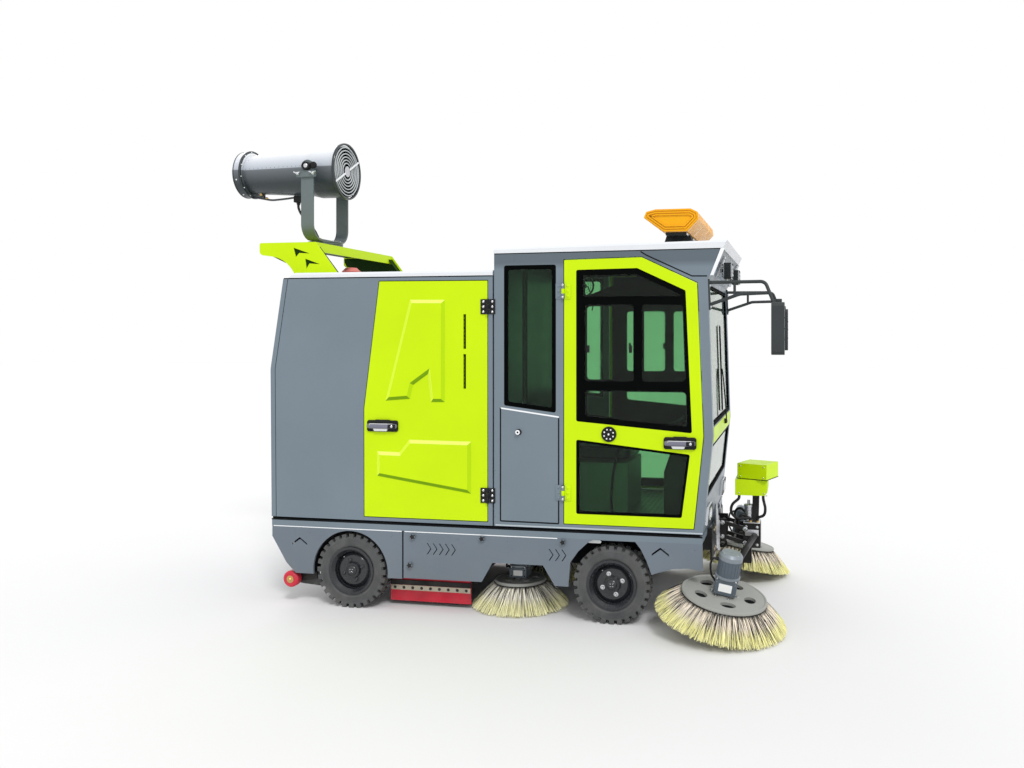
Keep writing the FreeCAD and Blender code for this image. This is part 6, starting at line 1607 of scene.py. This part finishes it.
def tread_bars(x0, x1, y0, y1, pitch=34.0):
    """Rows of raised crossed bars on a step plate."""
    for i in range(int((x1 - x0) / pitch)):
        for j in range(int((y1 - y0) / pitch)):
            a = math.radians(45 if (i + j) % 2 else -45)
            u, v = Vector((math.cos(a), math.sin(a), 0)), Vector((-math.sin(a), math.cos(a), 0))
            c = at(x0 + (i + 0.5) * pitch, y0 + (j + 0.5) * pitch, 582.4)
            link_rings([[c + (u * s + v * t + AXIS_Z * rise) / 1000
                         for s, t in ((-half, 0), (0, -wide), (half, 0), (0, wide))]
                        for half, wide, rise in ((13, 3.4, 0), (9, 2.0, 1.8))])


block((24, -585, 580.2), (296, 585, 582.6), 0.8)
for side in WAYS:
    block((-420, side * 256, 580.2), (24.5, side * 585, 582.6), 0.8)
tread_bars(28, 292, -580, 580)
for low, high in ((-580, -260), (260, 580)):
    tread_bars(-415, 20, low, high)
piece("cab_floor_plate", FLOOR_PLATE)

prism([(392, 1100), (372, 1150), (395, 1185), (470, 1176), (512, 1101)], "xz", -150, 150, 6, 3)
block((505, -540, 1100.5), (536, 540, 1112), 4)
for y in (-420, -300, 300, 420):
    for x in range(516, 459, -14):
        block((x, y - 45, 1101), (x + 6, y + 45, 1107), 1)
piece("instrument_hood", PLASTIC)
for y, radius in DIALS:
    wheel_ring([(radius + 1, -1), (radius + 5, -1), (radius + 5, 4), (radius + 1, 2)], at(384.5, y, 1153),
               DIAL_WAY, 40)
piece("dial_rims", CHROME)
for y, radius in DIALS:
    lathe([(radius, -1), (radius, 0.6)], at(384.5, y, 1153), DIAL_WAY, 40)
piece("dial_faces", DARK)
u, v = side_frame(DIAL_WAY)
for y, radius in DIALS[:2]:
    start = at(384.5, y, 1153)
    for tick in range(9):
        d = heading(u, v, math.radians(-130 + tick * 32.5) + math.pi / 2) / 1000
        tube([start + d * (radius - reach) + DIAL_WAY * 0.001 for reach in (10, 3)], 0.9, 4)
    start += DIAL_WAY * 0.0014
    tube([start, start + (u * 0.5 + v * 0.8) * (radius - 12) / 1000], 1.3, 5)
piece("dial_marks", WHITE_TRIM_AND_HIGHLIGHT)

axis = Vector((-math.sin(COLUMN_LEAN), 0, math.cos(COLUMN_LEAN)))
hub = at(420, 0, 1000) + axis * 0.190
lathe([(34, 8), (38, 12), (36, 20), (26, 25), (8, 26)], hub, axis, 40)
lathe([(3, 26), (3, 27)], hub, axis, 12)
u, v = side_frame(axis)
for index, a in enumerate(turns(32)):
    if index % 8 not in (3, 4, 5):
        d = heading(u, v, a)
        along = axis.cross(d) * 0.0035
        link_rings([[hub + d * 0.180 + heading(d, axis, b) * 0.0147 + way * along for b in turns(10)]
                    for way in WAYS])
piece("steering_wheel_grip", SEAL, "steering_wheel")

hose([(-70, LEVER_Y + 6, 583), (-74, LEVER_Y + 6, 700), (-60, LEVER_Y + 4, 860), (-30, LEVER_Y, 980)], 8, 5,
     10)
lathe([(12, 0), (20, 12), (23, 28), (18, 42), (8, 48)], at(-28, LEVER_Y, 972), Vector((0.2, 0, 1)), 24)
piece("park_lever", BLACK)
for y in (-60, 90):
    block((236, y - 40, 596), (262, y + 40, 690), 6, 3, spin=(at(249, y, 600), AXIS_Y, 28))
    tube([at(255, y, 640), at(300, y, 660)], 7, 8)
piece("pedals", BLACK)

fan = at(-252, -330, 2035)
away = Vector((0.55, -0.80, -0.10)).normalized()
wheel_ring([(66, -14), (70, -14), (72, 0), (70, 14), (66, 14)], fan, away, 40)
for radius in (18, 32, 46, 58):
    wheel_ring([(radius - 1.2, 13), (radius + 1.2, 13), (radius + 1.2, 15), (radius - 1.2, 15)], fan, away,
               36)
lathe([(16, 12), (16, 17), (10, 19)], fan, away, 20)
tube([at(-252, -330, 2105), at(-242, -320, 2165), at(-238, -316, 2222)], 7, 8)
hose([(-232, -300, 2035), (-214, -290, 1990), (-200, -280, 1930), (-205, -284, 1880)], 4, 5, 8)
piece("cab_fan", FAN_GREY)
block((-680, -610, 1150), (-600, 610, 1190), 8, 2)
for y in (-POST_Y, POST_Y):
    tube([at(POST_X, y, 590), at(POST_X, y, 2190)], 16, 12)
block((-688, -600, 584), (POST_X, -300, 1148), 12, 2)
piece("rear_cab_trim", PLASTIC)


# Rear door, walls and underside

frame_strip(round_box(-648, 1036, -566, 1264, 14), round_box(-634, 1050, -580, 1250, 10), "yz", -2232.6,
            -2238.6)
piece("rear_handle_plate", BLACK, "rear_door")
lathe([(11, 0), (11, 4), (8, 5)], at(-2232.5, -607, 1020), -AXIS_X, 20)
for z in (620, 1440):
    for y in (-600, 600):
        dome(at(rear_line(z) - 0.3, y, z), -AXIS_X, 7, 4)
piece("rear_door_screws", CHROME, "rear_door")
frame_strip(round_box(-250, 640, 250, 760, 8), round_box(-240, 650, 240, 750, 5), "yz", -2227.4, -2232.4)
piece("blank_plate_frame", BLACK, "rear_door")
block((-2231.4, -240, 650), (-2227.6, 240, 750), 0.8)
piece("blank_plate", BLANK, "rear_door")

for side in WAYS:
    for index in range(3):
        y = side * (300 + index * 14)
        hose([(-1960 + index * 60, y, 470), (-1700, y, 452 - index * 10), (-1300, y - side * 4, 470),
              (-900, y, 452), (-500, side * (300 + index * 12), 470)], 7, 8, 8)
piece("underbody_hoses", RUBBER)
for side in WAYS:
    for x in (-1920, -1500, -1100, -700):
        block((x - 10, side * 286, 440), (x + 10, side * 344, 484), 3)
piece("underbody_clips", BLACK)

for side_name, side in SIDES:
    for x, z in ((-720, 620), (-720, 900), (-720, 1400), (-720, 1900), (-600, 2180), (560, 640), (596, 1100)):
        dome(at(x, side * HALF_W, z), AXIS_Y * side, 4.5, 2.2)
    piece("cab_wall_screws_" + side_name, M["panel_grey"])
    # A black strip along the deck's top edge: painted shadow under the body.
    inner, outer = skin(side, -0.1, 0.8)
    block((-2226, inner, 539.5), (545, outer, 547.8))
    piece("deck_painted_shadow_line_" + side_name, DARK)
    # A pale strip above the sill: painted highlight on the panel's bent edge.
    block((-720, inner, 562.5), (545, outer, 570.5))
    piece("sill_painted_highlight_" + side_name, SILL_PAINTED_HIGHLIGHT)
